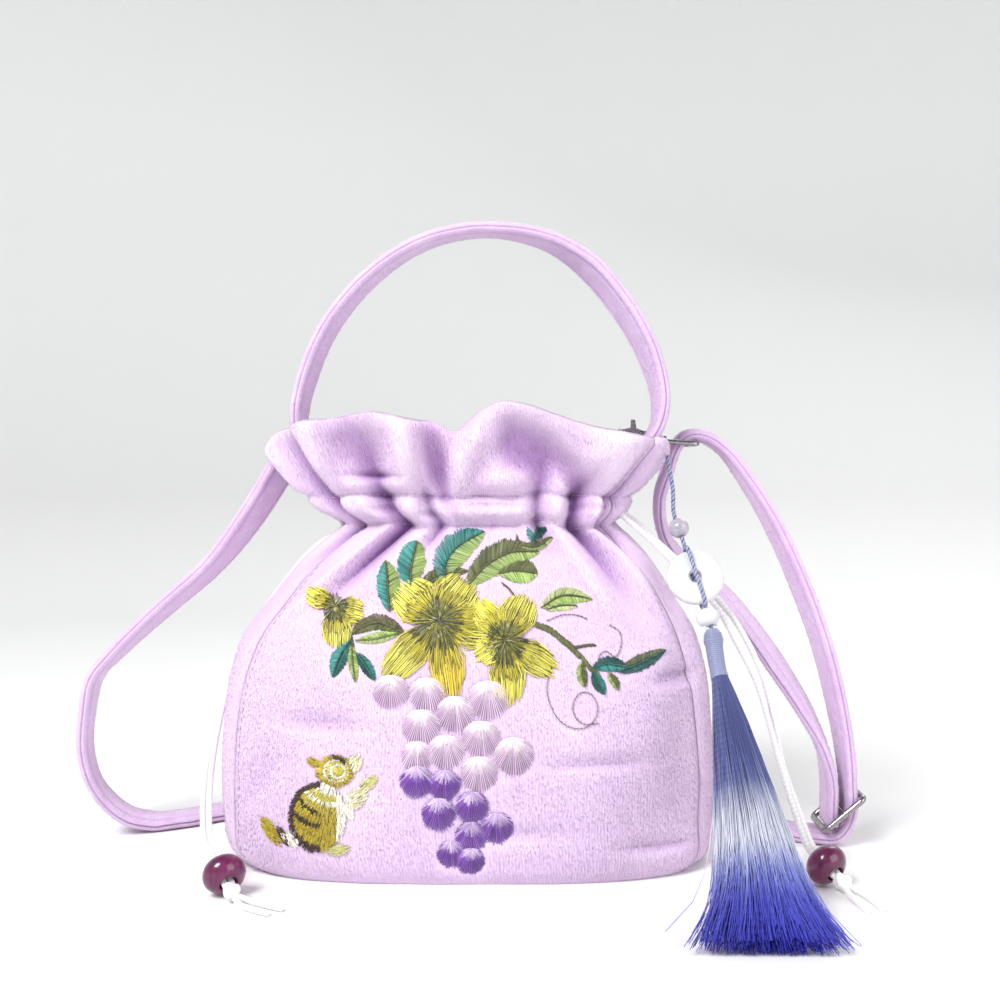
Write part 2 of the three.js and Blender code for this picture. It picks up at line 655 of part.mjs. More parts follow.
const pendantCord = join(
  cordAlong([sewnTop, [83.6, -17, 152], hang(-5), hang(5), hang(PENDANT.disc - 12.6)], PENDANT.cord, 9, 6),
  strandOver(overFace),
  strandOver(-overFace),
  rod(hang(PENDANT.disc, -overFace), hang(PENDANT.disc, overFace), PENDANT.cord / 2, 6),
  cordAlong([hang(PENDANT.disc + 12.6), hang(PENDANT.neck), hang(PENDANT.head)], PENDANT.cord, 3, 6),
);
add("pendant_cord", pendantCord, BLUE_CORD);
add("pendant_bead", aim(bead(4, 1.5, 7, 12, 8), down.toArray(), hang(PENDANT.bead)), JADE);
add("pendant_neck_bead", aim(bead(4.6, 1.5, 7, 12, 8), down.toArray(), hang(PENDANT.neck)), JADE);

const discProfile = [
  [DISC.hole, -1.6], [DISC.hole + 0.7, -2.3], [DISC.radius - 1.4, -2.3], [DISC.radius, -1.1],
  [DISC.radius, 1.1], [DISC.radius - 1.4, 2.3], [DISC.hole + 0.7, 2.3], [DISC.hole, 1.6], [DISC.hole, -1.6],
].map(([radius, height]) => new THREE.Vector2(radius, height));
const discBody = new THREE.LatheGeometry(discProfile, 18).rotateX(Math.PI / 2);
add("pendant_disc", aim(discBody, face.toArray(), hang(PENDANT.disc)), JADE);

// Tassel: a wound head, a core and locks of silk that bend forward and stand on the floor.
const spine = new THREE.CatmullRomCurve3([
  new THREE.Vector3(96, -39.2, 97.4),
  new THREE.Vector3(97.2, -44.5, 84),
  new THREE.Vector3(99, -53, 71.5),
  new THREE.Vector3(102, -74, 42.5),
  new THREE.Vector3(103, -97, 19),
  new THREE.Vector3(102.6, -120, 4),
]);
const SKIRT = table(["share", "halfWidth", "halfDepth", "lock"], [
  [0.15, 1.6, 1.6, 2.6],
  [0.38, 5.2, 4.2, 3.2],
  [0.62, 10.5, 6, 3.9],
  [0.84, 15.5, 5, 4.3],
  [1, 22, 2.4, 4],
]);
const LOCKS = 10;
function ring(share, offset, radius, sides, depth = radius) {
  const centre = spine.getPointAt(share);
  const along = spine.getTangentAt(share);
  const wide = new THREE.Vector3(1, 0, 0).addScaledVector(along, -along.x).normalize();
  const up = along.clone().cross(wide);
  const middle = centre.addScaledVector(wide, offset[0]).addScaledVector(up, offset[1]);
  const points = [];
  for (let i = 0; i < sides; i++) {
    const angle = (2 * Math.PI * i) / sides;
    const spot = middle.clone().addScaledVector(wide, radius * Math.cos(angle));
    spot.addScaledVector(up, depth * Math.sin(angle));
    spot.z = Math.max(spot.z, 0.2);
    points.push(spot);
  }
  return points;
}
const headRings = [[0, 3.2], [0.03, 5.2], [0.06, 4.6], [0.16, 4.6], [0.19, 5]];
const tasselParts = [loft(headRings.map(([share, radius]) => ring(share, [0, 0], radius, 12)))];
tasselParts.push(loft(SKIRT.map(({ share, halfWidth, halfDepth }) =>
  ring(share * 0.97, [0, 0], halfWidth + 1, 10, halfDepth + 1))));
for (let i = 0; i < LOCKS; i++) {
  const angle = (2 * Math.PI * i) / LOCKS;
  const lock = SKIRT.map(({ share, halfWidth, halfDepth, lock: radius }) =>
    ring(share, [halfWidth * Math.cos(angle), halfDepth * Math.sin(angle)], radius, 6));
  tasselParts.push(loft(lock));
}
add("tassel", join(...tasselParts), SILK);

export default group;
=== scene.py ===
# %% [markdown]
# A plush drawstring pouch is dressed here around a solid model that fixes every size and place.
# The lesson goes from the camera and the cords to the cloth, the needlework, the metal and the
# light. Lengths in the tables are millimetres and become metres once, when a mesh is made.

import math

import bmesh
import bpy
import numpy as np
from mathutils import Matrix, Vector, noise
from mathutils.bvhtree import BVHTree
from mathutils.kdtree import KDTree


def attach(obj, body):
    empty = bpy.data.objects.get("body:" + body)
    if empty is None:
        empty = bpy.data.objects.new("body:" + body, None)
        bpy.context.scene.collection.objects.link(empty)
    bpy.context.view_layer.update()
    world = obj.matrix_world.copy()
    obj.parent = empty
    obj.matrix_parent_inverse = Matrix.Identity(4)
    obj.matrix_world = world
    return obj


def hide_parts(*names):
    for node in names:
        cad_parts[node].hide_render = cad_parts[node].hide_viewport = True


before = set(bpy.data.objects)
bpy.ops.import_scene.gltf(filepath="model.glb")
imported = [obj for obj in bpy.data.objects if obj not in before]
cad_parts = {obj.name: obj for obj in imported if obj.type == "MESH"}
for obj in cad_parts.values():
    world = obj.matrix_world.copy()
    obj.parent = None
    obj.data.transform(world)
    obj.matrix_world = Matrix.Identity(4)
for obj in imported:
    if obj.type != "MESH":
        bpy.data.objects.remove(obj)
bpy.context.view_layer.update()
MM = 0.001

# %% [markdown]
# The photograph was taken from a little above the casing, with the camera tipped slightly down. A
# camera is a place, a focal length and a tilt. The focal length is kept in pixels, as it was
# measured, and turned into Blender's millimetres on a 36 mm sensor.

# %% Camera
EYE = (13.4, -532, 159)
FOCAL_PIXELS = 1268
PHOTO_SIDE = 1000
EYE_LEVEL_ROW = 472
SENSOR = 36

camera_data = bpy.data.cameras.new("photo_camera")
camera_data.sensor_width = SENSOR
camera_data.sensor_height = SENSOR
camera_data.lens = SENSOR * FOCAL_PIXELS / PHOTO_SIDE
camera_data.clip_start = 0.01
camera = bpy.data.objects.new("photo_camera", camera_data)
camera.location = Vector(EYE) * MM
tip_down = math.atan((PHOTO_SIDE / 2 - EYE_LEVEL_ROW) / FOCAL_PIXELS)
camera.rotation_euler = (math.pi / 2 - tip_down, 0, 0)
bpy.context.scene.collection.objects.link(camera)
bpy.context.scene.camera = camera
print("lens:", round(camera_data.lens, 2), "mm, tipped down", round(math.degrees(tip_down), 2), "degrees")

# %% [markdown]
# Geometry Nodes trees and materials are both graphs, so a few small helpers serve the whole file:
# one adds a node and sets or links its inputs, two open and close a tree with named inputs, and
# one runs a tree on an object and keeps what it made as a plain mesh.

# %% Node helpers
def add_node(tree, kind, inputs=None, **settings):
    """A node with its settings made, and its inputs set to values or linked to sockets."""
    node = tree.nodes.new(kind)
    for key, value in settings.items():
        setattr(node, key, value)
    for key, value in (inputs or {}).items():
        if isinstance(value, bpy.types.NodeSocket):
            tree.links.new(value, node.inputs[key])
        else:
            node.inputs[key].default_value = value
    return node


def start_tree(name, inputs):
    """A Geometry Nodes tree with a geometry in and out and more named inputs."""
    tree = bpy.data.node_groups.new(name, "GeometryNodeTree")
    tree.is_modifier = True
    tree.interface.new_socket("Geometry", in_out="INPUT", socket_type="NodeSocketGeometry")
    tree.interface.new_socket("Geometry", in_out="OUTPUT", socket_type="NodeSocketGeometry")
    for socket_name, kind in inputs.items():
        tree.interface.new_socket(socket_name, in_out="INPUT", socket_type=f"NodeSocket{kind}")
    return tree, add_node(tree, "NodeGroupInput").outputs


def end_tree(tree, geometry, material):
    """Close a tree: instances become real faces and take their material."""
    real = add_node(tree, "GeometryNodeRealizeInstances", {"Geometry": geometry})
    smooth = add_node(tree, "GeometryNodeSetShadeSmooth", {"Geometry": real.outputs["Geometry"]})
    painted = add_node(tree, "GeometryNodeSetMaterial",
                       {"Geometry": smooth.outputs["Geometry"], "Material": material})
    add_node(tree, "NodeGroupOutput", {"Geometry": painted.outputs["Geometry"]})
    return tree


def link_piece(name, mesh):
    """An object at the origin that shows a mesh."""
    piece = bpy.data.objects.new(name, mesh)
    bpy.context.scene.collection.objects.link(piece)
    return piece


def grown(name, source, tree, settings, keep_source=False):
    """Run a tree on a source object and keep the result as a plain mesh piece."""
    modifier = source.modifiers.new("grow", "NODES")
    modifier.node_group = tree
    for item in tree.interface.items_tree:
        if item.in_out == "INPUT" and item.name in settings:
            modifier[item.identifier] = settings[item.name]
    bpy.context.view_layer.update()
    graph = bpy.context.evaluated_depsgraph_get()
    mesh = bpy.data.meshes.new_from_object(source.evaluated_get(graph))
    source.modifiers.remove(modifier)
    if not keep_source:
        bpy.data.objects.remove(source)
    return link_piece(name, mesh)


def store(mesh, key, values):
    """Keep one number for each point of a mesh, as an attribute."""
    layer = mesh.attributes.new(key, "FLOAT", "POINT")
    layer.data.foreach_set("value", np.asarray(values, np.float32))


def triangles(piece):
    """How many triangles a piece has."""
    return sum(len(face.vertices) - 2 for face in piece.data.polygons)


print("helpers ready")

# %% [markdown]
# Colours are easiest to read as they look on a screen, while Blender's shaders want them linear.
# Each finish is a function: the numbers that are the same all over go straight on the shader's
# sockets, and only colour and bump come from textures.

# %% Finishes: helpers
def screen_colour(code):
    """Linear red, green, blue and alpha of a six-digit screen colour."""
    parts = [int(code[i:i + 2], 16) / 255 for i in (0, 2, 4)]
    return tuple(c / 12.92 if c <= 0.04045 else ((c + 0.055) / 1.055) ** 2.4 for c in parts) + (1.0,)


def new_finish(name, **constants):
    """A material and its main shader, with constants given by socket name (_ for a space)."""
    material = bpy.data.materials.new(name)
    material.use_nodes = True
    shader = material.node_tree.nodes["Principled BSDF"]
    for key, value in constants.items():
        shader.inputs[key.replace("_", " ")].default_value = value
    return material, material.node_tree, shader


def ramp(tree, factor, stops):
    """A colour ramp with stops of place and screen colour."""
    node = add_node(tree, "ShaderNodeValToRGB", {"Fac": factor})
    while len(node.color_ramp.elements) < len(stops):
        node.color_ramp.elements.new(0.5)
    for element, (place, code) in zip(node.color_ramp.elements, stops):
        element.position = place
        element.color = screen_colour(code)
    return node.outputs["Color"]


def object_noise(tree, scale, detail=2.0, stretch=(1, 1, 1)):
    """Noise on Object coordinates; scale is bumps per metre and stretch squeezes each axis."""
    coords = add_node(tree, "ShaderNodeTexCoord").outputs["Object"]
    mapped = add_node(tree, "ShaderNodeMapping", {"Vector": coords, "Scale": stretch})
    texture = add_node(tree, "ShaderNodeTexNoise",
                       {"Vector": mapped.outputs["Vector"], "Scale": scale, "Detail": detail})
    return texture.outputs["Fac"]


def attribute(tree, name, output):
    """A named attribute of the mesh."""
    return add_node(tree, "ShaderNodeAttribute", attribute_name=name).outputs[output]


def maths(tree, operation, *values):
    """One step of arithmetic on shader values or sockets."""
    return add_node(tree, "ShaderNodeMath", dict(enumerate(values)), operation=operation).outputs["Value"]


def remap(tree, value, low, high, to_low, to_high):
    """A value carried from one range to another and held inside it."""
    ends = {"From Min": low, "From Max": high, "To Min": to_low, "To Max": to_high}
    return add_node(tree, "ShaderNodeMapRange", {"Value": value, **ends}).outputs["Result"]


def blend_values(tree, a, b, share):
    """Two grey values mixed by a fixed share."""
    return add_node(tree, "ShaderNodeMix", {"Factor": share, "A": a, "B": b}).outputs["Result"]


def blend_colour(tree, colour, code, share, way="MIX"):
    """A colour mixed with a screen colour by a share; sockets 6, 7 and 2 are the node's colours."""
    mixed = add_node(tree, "ShaderNodeMix", {"Factor": share, 6: colour, 7: screen_colour(code)},
                     data_type="RGBA", blend_type=way)
    return mixed.outputs[2]


def bump(tree, shader, height, strength, distance):
    """Relief from a grey value; distance is in millimetres."""
    node = add_node(tree, "ShaderNodeBump",
                    {"Height": height, "Strength": strength, "Distance": distance * MM})
    tree.links.new(node.outputs["Normal"], shader.inputs["Normal"])


print("white is", screen_colour("ffffff"))

# %% [markdown]
# Plush is woven cloth with a short dense pile. Seen straight on it shows the darker root of the
# pile, and at a slant the pale tips, which is what the sheen of the shader does. The pile stands in
# fine ribs that run down the cloth, so an attribute called turn, which counts degrees round the
# pouch, drives a wave. A fine noise breaks the ribs up and a wide one gives patches of turned pile.
# Shade and light are painted too: the colour turns deeper violet in the valleys of folds, a painted
# shade, and paler on their ridges, a painted highlight. The grown fibres are painted a little paler
# than the cloth, a painted highlight on the pile tips.

# %% Finish: plush and lining
PLUSH_STOPS = [(0.3, "cdb0d5"), (0.50, "d9bfdf"), (0.7, "e4cfe7")]
# The fibres' stops are a little paler than the cloth's: a painted highlight on the pile tips.
TIP_STOPS = [(0.3, "d7bddd"), (0.50, "e0c7e4"), (0.7, "e7d3ea")]
# Painted fold shade and highlight: screen colour, fold depth in mm where it starts and where it
# is full, and its share there.
PAINTED_FOLD_SHADE_AND_HIGHLIGHT = [("8a55a3", -0.6, -7.5, 0.75), ("f6eaf6", 0.5, 6.0, 0.45)]
RIB_DEGREES = 0.85
RIB_SWING = 0.3
RIB_WAVER = 9


def plush_finish(name, stops, stretch, relief=True):
    """Pile fabric; stretch squeezes the streaks along the pile's own direction."""
    material, tree, shader = new_finish(
        name, Roughness=0.95, Sheen_Weight=0.8, Sheen_Roughness=0.42,
        Sheen_Tint=screen_colour("fff2fb"), Specular_IOR_Level=0.1)
    waver = maths(tree, "MULTIPLY", object_noise(tree, 90), RIB_WAVER)
    phase = maths(tree, "MULTIPLY", attribute(tree, "turn", "Fac"), 2 * math.pi / RIB_DEGREES)
    wave = maths(tree, "SINE", maths(tree, "ADD", phase, waver))
    ribs = maths(tree, "MULTIPLY_ADD", wave, RIB_SWING, 0.5)
    streaks = blend_values(tree, object_noise(tree, 1400, 1, stretch), ribs, 0.4)
    colour = ramp(tree, blend_values(tree, streaks, object_noise(tree, 38), 0.3), stops)
    # Painted shade in the valleys of folds and painted highlight on their ridges, by the fold attribute.
    fold = attribute(tree, "fold", "Fac")
    for code, low, high, most in PAINTED_FOLD_SHADE_AND_HIGHLIGHT:
        colour = blend_colour(tree, colour, code, remap(tree, fold, low, high, 0, most))
    tree.links.new(colour, shader.inputs["Base Color"])
    if relief:
        bump(tree, shader, blend_values(tree, streaks, object_noise(tree, 2600), 0.25), 0.8, 0.6)
    return material


def lining_finish():
    """Thin satin lining, deeper in colour than the plush."""
    material, tree, shader = new_finish("lining_satin", Roughness=0.42, Sheen_Weight=0.25)
    # Painted shade of soft folds: the colour goes lighter and darker in streaks that run up and down.
    folds = object_noise(tree, 60, 3, (1, 1, 0.3))
    tree.links.new(ramp(tree, folds, [(0.3, "c9a6dc"), (0.7, "dcc4ea")]), shader.inputs["Base Color"])
    bump(tree, shader, object_noise(tree, 2600, 1, (1, 1, 0.25)), 0.2, 0.2)
    return material


RIBS, BRUSHED = (1, 0.7, 0.3), (0.9, 0.6, 0.9)
PLUSH = plush_finish("plush", PLUSH_STOPS, RIBS)
BAND_PLUSH = plush_finish("band_plush", PLUSH_STOPS, BRUSHED)
TIPS = {"pouch": plush_finish("pile_tips", TIP_STOPS, RIBS, relief=False),
        "band": plush_finish("band_pile_tips", TIP_STOPS, BRUSHED, relief=False)}
LINING = lining_finish()
print("cloth finishes:", PLUSH.name, BAND_PLUSH.name, LINING.name, sorted(TIPS))

# %% [markdown]
# Threads, cords and strands all carry their own colour as an attribute called tint, so one tree
# can draw many colours. The cord finish also reads how far along and how far around a point is,
# and crosses two families of spirals for the look of a fine braid; it can darken the grooves
# between them towards grey, a painted shade.

# %% Finish: threads and cords
def twist_height(tree, per_metre, hand):
    """Spiral ridges along a tube: hand 1 or -1 turns them left or right."""
    along = maths(tree, "MULTIPLY", attribute(tree, "along", "Fac"), per_metre * 2 * math.pi)
    around = add_node(tree, "ShaderNodeSeparateXYZ", {"Vector": attribute(tree, "around", "Vector")})
    first = maths(tree, "MULTIPLY", maths(tree, "COSINE", along), around.outputs["X"])
    second = maths(tree, "MULTIPLY", maths(tree, "SINE", along), around.outputs["Y"])
    return maths(tree, "ADD", first, maths(tree, "MULTIPLY", second, hand))


def thread_finish(name, roughness, sheen, ridges, relief, gloss=0.5, groove=0.0):
    """Spun thread or cord in the colour of its tint; ridges is turns per metre, groove the painted shade."""
    material, tree, shader = new_finish(
        name, Roughness=roughness, Sheen_Weight=sheen, Sheen_Roughness=0.3, Specular_IOR_Level=gloss)
    colour = attribute(tree, "tint", "Color")
    crossed = maths(tree, "MAXIMUM", twist_height(tree, ridges, 1), twist_height(tree, ridges, -1))
    # Painted shade: the grooves between the ridges are darkened towards grey.
    if groove:
        shade_share = remap(tree, crossed, 0.95, 0.1, 0, groove)
        colour = blend_colour(tree, colour, "8d8896", shade_share, "MULTIPLY")
    tree.links.new(colour, shader.inputs["Base Color"])
    bump(tree, shader, crossed, 0.6, relief)
    return material


CORD_SATIN = thread_finish("cord_satin", 0.42, 0.3, 560, 0.1, groove=0.12)
SILK_STRAND = thread_finish("silk_strand", 0.34, 0.3, 400, 0.03, 0.6)
NEEDLE_THREAD = thread_finish("needle_thread", 0.38, 0.25, 900, 0.06, 0.6)
print("thread finishes:", CORD_SATIN.name, SILK_STRAND.name, NEEDLE_THREAD.name)

# %% [markdown]
# The hard pieces: lacquered wood for the cord beads, milky jade for the pendant and dark plated
# metal for the clasp. Lacquer is a clear coat over brown-violet wood grain; jade lets some light
# in, which subsurface scattering gives; plating is a metal with faint scratches in its roughness.

# %% Finish: wood, jade and metal
def bead_finish():
    """Dark lacquered wood with fine grain under a clear coat."""
    material, tree, shader = new_finish("bead_lacquer", Roughness=0.35, Coat_Weight=0.8, Coat_Roughness=0.05,
                                        Specular_IOR_Level=0.3)
    grain = object_noise(tree, 420, 4, (1, 0.25, 0.25))
    tree.links.new(ramp(tree, grain, [(0.3, "450731"), (0.55, "621046"), (0.75, "7d1f5c")]),
                   shader.inputs["Base Color"])
    return material


def jade_finish(name, cloudy, clear, depth, see_through):
    """Milky stone; depth is how far light goes in, in millimetres."""
    material, tree, shader = new_finish(
        name, Roughness=0.2, Subsurface_Weight=0.6, Subsurface_Scale=depth * MM,
        Coat_Weight=0.4, Coat_Roughness=0.08, Transmission_Weight=see_through)
    clouds = object_noise(tree, 160, 4)
    tree.links.new(ramp(tree, clouds, [(0.35, cloudy), (0.65, clear)]), shader.inputs["Base Color"])
    return material


def metal_finish():
    """Dark plated zinc, lightly scratched."""
    material, tree, shader = new_finish("gunmetal", Metallic=1.0)
    scratches = object_noise(tree, 1500, 3, (1, 0.2, 1))
    tree.links.new(ramp(tree, scratches, [(0.3, "7d787c"), (0.7, "b4b0b2")]), shader.inputs["Base Color"])
    tree.links.new(remap(tree, scratches, 0, 1, 0.14, 0.34), shader.inputs["Roughness"])
    bump(tree, shader, scratches, 0.15, 0.05)
    return material


BEAD_LACQUER = bead_finish()
JADE = jade_finish("jade", "cfd1d6", "e4e6ea", 3, 0.0)
GLASSY_JADE = jade_finish("glassy_jade", "b5b2c2", "cbc8d6", 4, 0.35)
GUNMETAL = metal_finish()
print("hard finishes:", BEAD_LACQUER.name, JADE.name, GLASSY_JADE.name, GUNMETAL.name)

# %% [markdown]
# Cords and bands follow smooth curves through a few chosen points. The curve here is a
# Catmull-Rom spline whose spans are weighted by the square root of their length, which keeps
# loops from forming where points lie close together.

# %% Curves through points
def smooth_path(points, per_span):
    """Samples, unit tangents and places (in points) of a smooth curve through points."""
    points = np.asarray(points, float)
    ends = np.vstack([2 * points[0] - points[1], points, 2 * points[-1] - points[-2]])
    samples, tangents, places = [], [], []
    spans = len(points) - 1
    for i in range(spans):
        p0, p1, p2, p3 = ends[i:i + 4]
        d0, d1, d2 = (max(np.linalg.norm(b - a) ** 0.5, 1e-4) for a, b in ((p0, p1), (p1, p2), (p2, p3)))
        m1 = ((p1 - p0) / d0 - (p2 - p0) / (d0 + d1) + (p2 - p1) / d1) * d1
        m2 = ((p2 - p1) / d1 - (p3 - p1) / (d1 + d2) + (p3 - p2) / d2) * d1
        square, cube = 3 * (p2 - p1) - 2 * m1 - m2, 2 * (p1 - p2) + m1 + m2
        last = i == spans - 1
        t = np.linspace(0, 1, per_span + last, endpoint=last)[:, None]
        samples.append(p1 + m1 * t + square * t ** 2 + cube * t ** 3)
        slope = m1 + 2 * square * t + 3 * cube * t ** 2
        tangents.append(slope / np.linalg.norm(slope, axis=1, keepdims=True))
        places.append(i + t[:, 0])
    return np.vstack(samples), np.vstack(tangents), np.concatenate(places)


def path_length(points):
    """Length of a line of points, in their own unit."""
    return float(np.linalg.norm(np.diff(points, axis=0), axis=1).sum())


def run_along(points):
    """How far along a line each of its points lies."""
    return np.concatenate([[0], np.cumsum(np.linalg.norm(np.diff(points, axis=0), axis=1))])


def at_places(places, run, values):
    """Rows of values read off at places along a run."""
    return np.stack([np.interp(places, run, column) for column in np.asarray(values).T], -1)


def unit(vectors):
    """Vectors of length one."""
    vectors = np.asarray(vectors, float)
    return vectors / np.linalg.norm(vectors, axis=-1, keepdims=True)


print("a quarter turn of radius 1 is about", round(path_length(smooth_path(
    [(1, 0, 0), (0.707, 0.707, 0), (0, 1, 0)], 20)[0]), 3), "long")

# %% [markdown]
# Anything round that follows a line is drawn by one Geometry Nodes tree. Its source is a mesh of
# bare edges, and each point says how thick the strand is there and which colour it has. The tree
# turns edges into curves, sweeps a circle along them and stores the circle's own points, so that
# a finish can tell how far around the strand it is.

# %% Strands along guides
def strand_tree():
    tree, inputs = start_tree("strand_along_guides", {"Sides": "Int", "Finish": "Material"})
    circle = add_node(tree, "GeometryNodeCurvePrimitiveCircle",
                      {"Resolution": inputs["Sides"], "Radius": 1.0})
    place = add_node(tree, "GeometryNodeInputPosition").outputs["Position"]
    profile = add_node(tree, "GeometryNodeStoreNamedAttribute", {"Geometry": circle.outputs["Curve"],
                       "Name": "around", "Value": place}, data_type="FLOAT_VECTOR", domain="POINT")
    thick = add_node(tree, "GeometryNodeInputNamedAttribute", {"Name": "thick"}, data_type="FLOAT")
    curve = add_node(tree, "GeometryNodeMeshToCurve", {"Mesh": inputs["Geometry"]})
    swept = add_node(tree, "GeometryNodeCurveToMesh", {
        "Curve": curve.outputs["Curve"], "Profile Curve": profile.outputs["Geometry"],
        "Scale": thick.outputs["Attribute"], "Fill Caps": True})
    return end_tree(tree, swept.outputs["Mesh"], inputs["Finish"])


STRANDS = strand_tree()


def guide_lines(name, lines):
    """A mesh of bare edges from (points in mm, radius in mm, linear colour) rows."""
    places, edges, thick, along, tint = [], [], [], [], []
    for points, radius, colour in lines:
        points = np.asarray(points, float)
        closed = len(points) > 8 and np.allclose(points[0], points[-1])
        points = points[:-1] if closed else points
        count = len(points)
        first = len(thick)
        edges.extend((first + i, first + (i + 1) % count) for i in range(count if closed else count - 1))
        places.append(points * MM)
        thick.extend(np.broadcast_to(np.asarray(radius, float) * MM, count))
        along.extend(run_along(points) * MM)
        tint.append(np.broadcast_to(np.asarray(colour, float)[..., :3], (count, 3)))
    mesh = bpy.data.meshes.new(name)
    mesh.from_pydata(np.vstack(places).tolist(), edges, [])
    store(mesh, "thick", thick)
    store(mesh, "along", along)
    colours = np.hstack([np.vstack(tint), np.ones((len(thick), 1))]).astype(np.float32)
    mesh.attributes.new("tint", "FLOAT_COLOR", "POINT").data.foreach_set("color", colours.ravel())
    return link_piece(name, mesh)


def strands(name, lines, finish, sides):
    """A piece of round strands along guide lines."""
    source = guide_lines(name + "_guides", lines)
    return grown(name, source, STRANDS, {"Sides": sides, "Finish": finish})


print("strand tree has", len(STRANDS.nodes), "nodes")

# %% [markdown]
# The pouch is one tube of cloth in four panels. Its level sections are rounded rectangles, given
# from the floor to the top of the casing. A turn says where on the girth a point lies, in degrees
# of its length: 0 is the middle of the front and 90 the right side.

# %% Pouch: the tables
WALL = 2.4
SEAM_TURN = 68
SEAM_GAP = 0.2
CASING_BOTTOM = 138
CASING_TOP = 149.5
# Height, half width, half depth, squareness, shift to the right.
SECTIONS = np.array([
    (0, 90, 46.5, 3.3, 3), (3, 95.5, 48.5, 3.2, 2), (9, 99.5, 50, 3.1, 1), (20, 101, 51, 2.9, 0),
    (36, 102, 51.5, 2.8, 0), (58, 101, 51, 2.7, 0), (80, 98, 48.5, 2.6, 0.5), (94, 93, 45, 2.5, 1),
    (106, 84.5, 41, 2.45, 2), (116, 78, 37.5, 2.4, 3), (125, 71, 34, 2.35, 4), (132, 63.5, 31, 2.3, 5),
    (CASING_BOTTOM, 57, 28.5, 2.3, 5.5), (143.5, 63, 31, 2.3, 3), (CASING_TOP, 67.5, 30, 2.3, 1.5),
])
RIM_SECTION = np.array([84, 41, 2.3, 1])
# Turn, height of the rim, and how far a fold pushes it out.
RIM = np.array([
    (-104, 164, 0), (-90, 165, 0), (-76, 174, 2), (-58, 178.5, 5), (-46, 180, 3), (-33, 182, 6),
    (-19, 179, 2), (-12, 178, 4), (-4, 174.5, -4), (3, 181.5, -4), (10, 185.8, 3), (19, 184.8, 6),
    (30, 181, 2), (42, 177, 1), (52, 174.4, 4), (64, 172.4, 5), (80, 171.5, 2), (90, 165, 0), (108, 164, 0),
    (126, 175, 5), (144, 172, -3), (162, 178, 5), (180, 173, -4), (200, 178, 5), (220, 173, -3),
    (238, 175, 4),
])
# Turn, depth, half width in degrees, run down the shoulder, and swing on the way.
GATHERS = [
    (-68, 5, 10, 26, -5), (-39, 7.4, 9, 42, -17), (-20, 4, 6, 15, -3), (6, 1, 8, 12, 0),
    (30, 4, 7, 18, 2), (49, 7, 9, 44, 11), (64, 3.4, 7, 22, 6), (124, 5, 10, 26, 0),
    (148, 5, 10, 34, 0), (172, 5, 10, 30, 0), (196, 5, 10, 34, 0), (220, 5, 10, 30, 0),
    (242, 5, 9, 26, 0),
]
print("sections:", len(SECTIONS), "rim points:", len(RIM), "gathers:", len(GATHERS))

# %% [markdown]
# From the tables to a point of cloth takes four steps: the section at a height, the point of its
# outline at a turn, the push of the gathers in and of the frill's folds out, and the finer folds
# that only the eye needs: puffed casing, pinched stitch lines, sharp creases and slack dents.

# %% Pouch: a point of the cloth
def through_rows(x, xs, ys):
    """A smooth curve through rows of a table."""
    slopes = np.gradient(ys, xs)
    i = np.clip(np.searchsorted(xs, x, side="right") - 1, 0, len(xs) - 2)
    span = xs[i + 1] - xs[i]
    t = (x - xs[i]) / span
    level = ys[i] * (1 + 2 * t) * (1 - t) ** 2 + ys[i + 1] * t * t * (3 - 2 * t)
    return level + span * (slopes[i] * t * (1 - t) ** 2 - slopes[i + 1] * t * t * (1 - t))


def wrap(turn):
    """Degrees brought to -180 to 180."""
    return (np.asarray(turn, float) + 180) % 360 - 180


def rim_at(turn, column):
    """Height (1) or outward fold (2) of the rim at a turn, as a closed curve."""
    laps = np.vstack([RIM - (360, 0, 0), RIM, RIM + (360, 0, 0)])
    return through_rows(wrap(turn), laps[:, 0], laps[:, column])


def section_at(z):
    """Half width, half depth, squareness and shift at a height."""
    return np.array([through_rows(np.float64(z), SECTIONS[:, 0], SECTIONS[:, k]) for k in range(1, 5)])


def outline(section, turns):
    """Points and outward directions of a section at turns, shared out by length."""
    a, b, n, shift = section
    angle = np.linspace(math.pi / 2, 0, 181)
    radius = ((np.cos(angle) / a) ** n + (np.sin(angle) / b) ** n) ** (-1 / n)
    x, y = radius * np.cos(angle), radius * np.sin(angle)
    length = np.concatenate([[0], np.cumsum(np.hypot(np.diff(x), np.diff(y)))])
    around = wrap(turns)
    share = np.where(abs(around) <= 90, abs(around), 180 - abs(around)) / 90
    x, y = np.interp(share * length[-1], length, x), np.interp(share * length[-1], length, y)
    normal = unit(np.stack([(x / a) ** (n - 1) / a, (y / b) ** (n - 1) / b], axis=-1))
    right, back = np.where(around < 0, -1, 1), np.where(abs(around) <= 90, -1, 1)
    return right * x + shift, back * y, right * normal[:, 0], back * normal[:, 1]


def gather_push(turns, z, frill, fine):
    """How far the gathers press the cloth in; fine adds a sharp valley along each one."""
    push = np.zeros(len(turns))
    for turn, depth, half, drop, lean in GATHERS:
        fall = np.clip((CASING_BOTTOM - z) / drop, 0, 1)
        off = abs(wrap(turns - turn - lean * fall)) / half
        deep = depth * ((1 - fall * fall * (3 - 2 * fall)) * (1 - frill) ** 2.4)
        push -= deep * (0.5 + 0.5 * np.cos(math.pi * np.minimum(off, 1)))
        if fine:
            push -= 0.36 * deep * np.exp(-(off / 0.24) ** 1.5)
            push += 0.2 * deep * np.exp(-((off - 1.1) / 0.45) ** 2)
    return push


def row_height(turns, z, frill):
    """Heights of a row of cloth, which is level up to the casing's top and then nears the rim."""
    if frill > 0:
        return CASING_TOP * (1 - frill) + rim_at(turns, 1) * frill
    return np.full(len(turns), float(z))


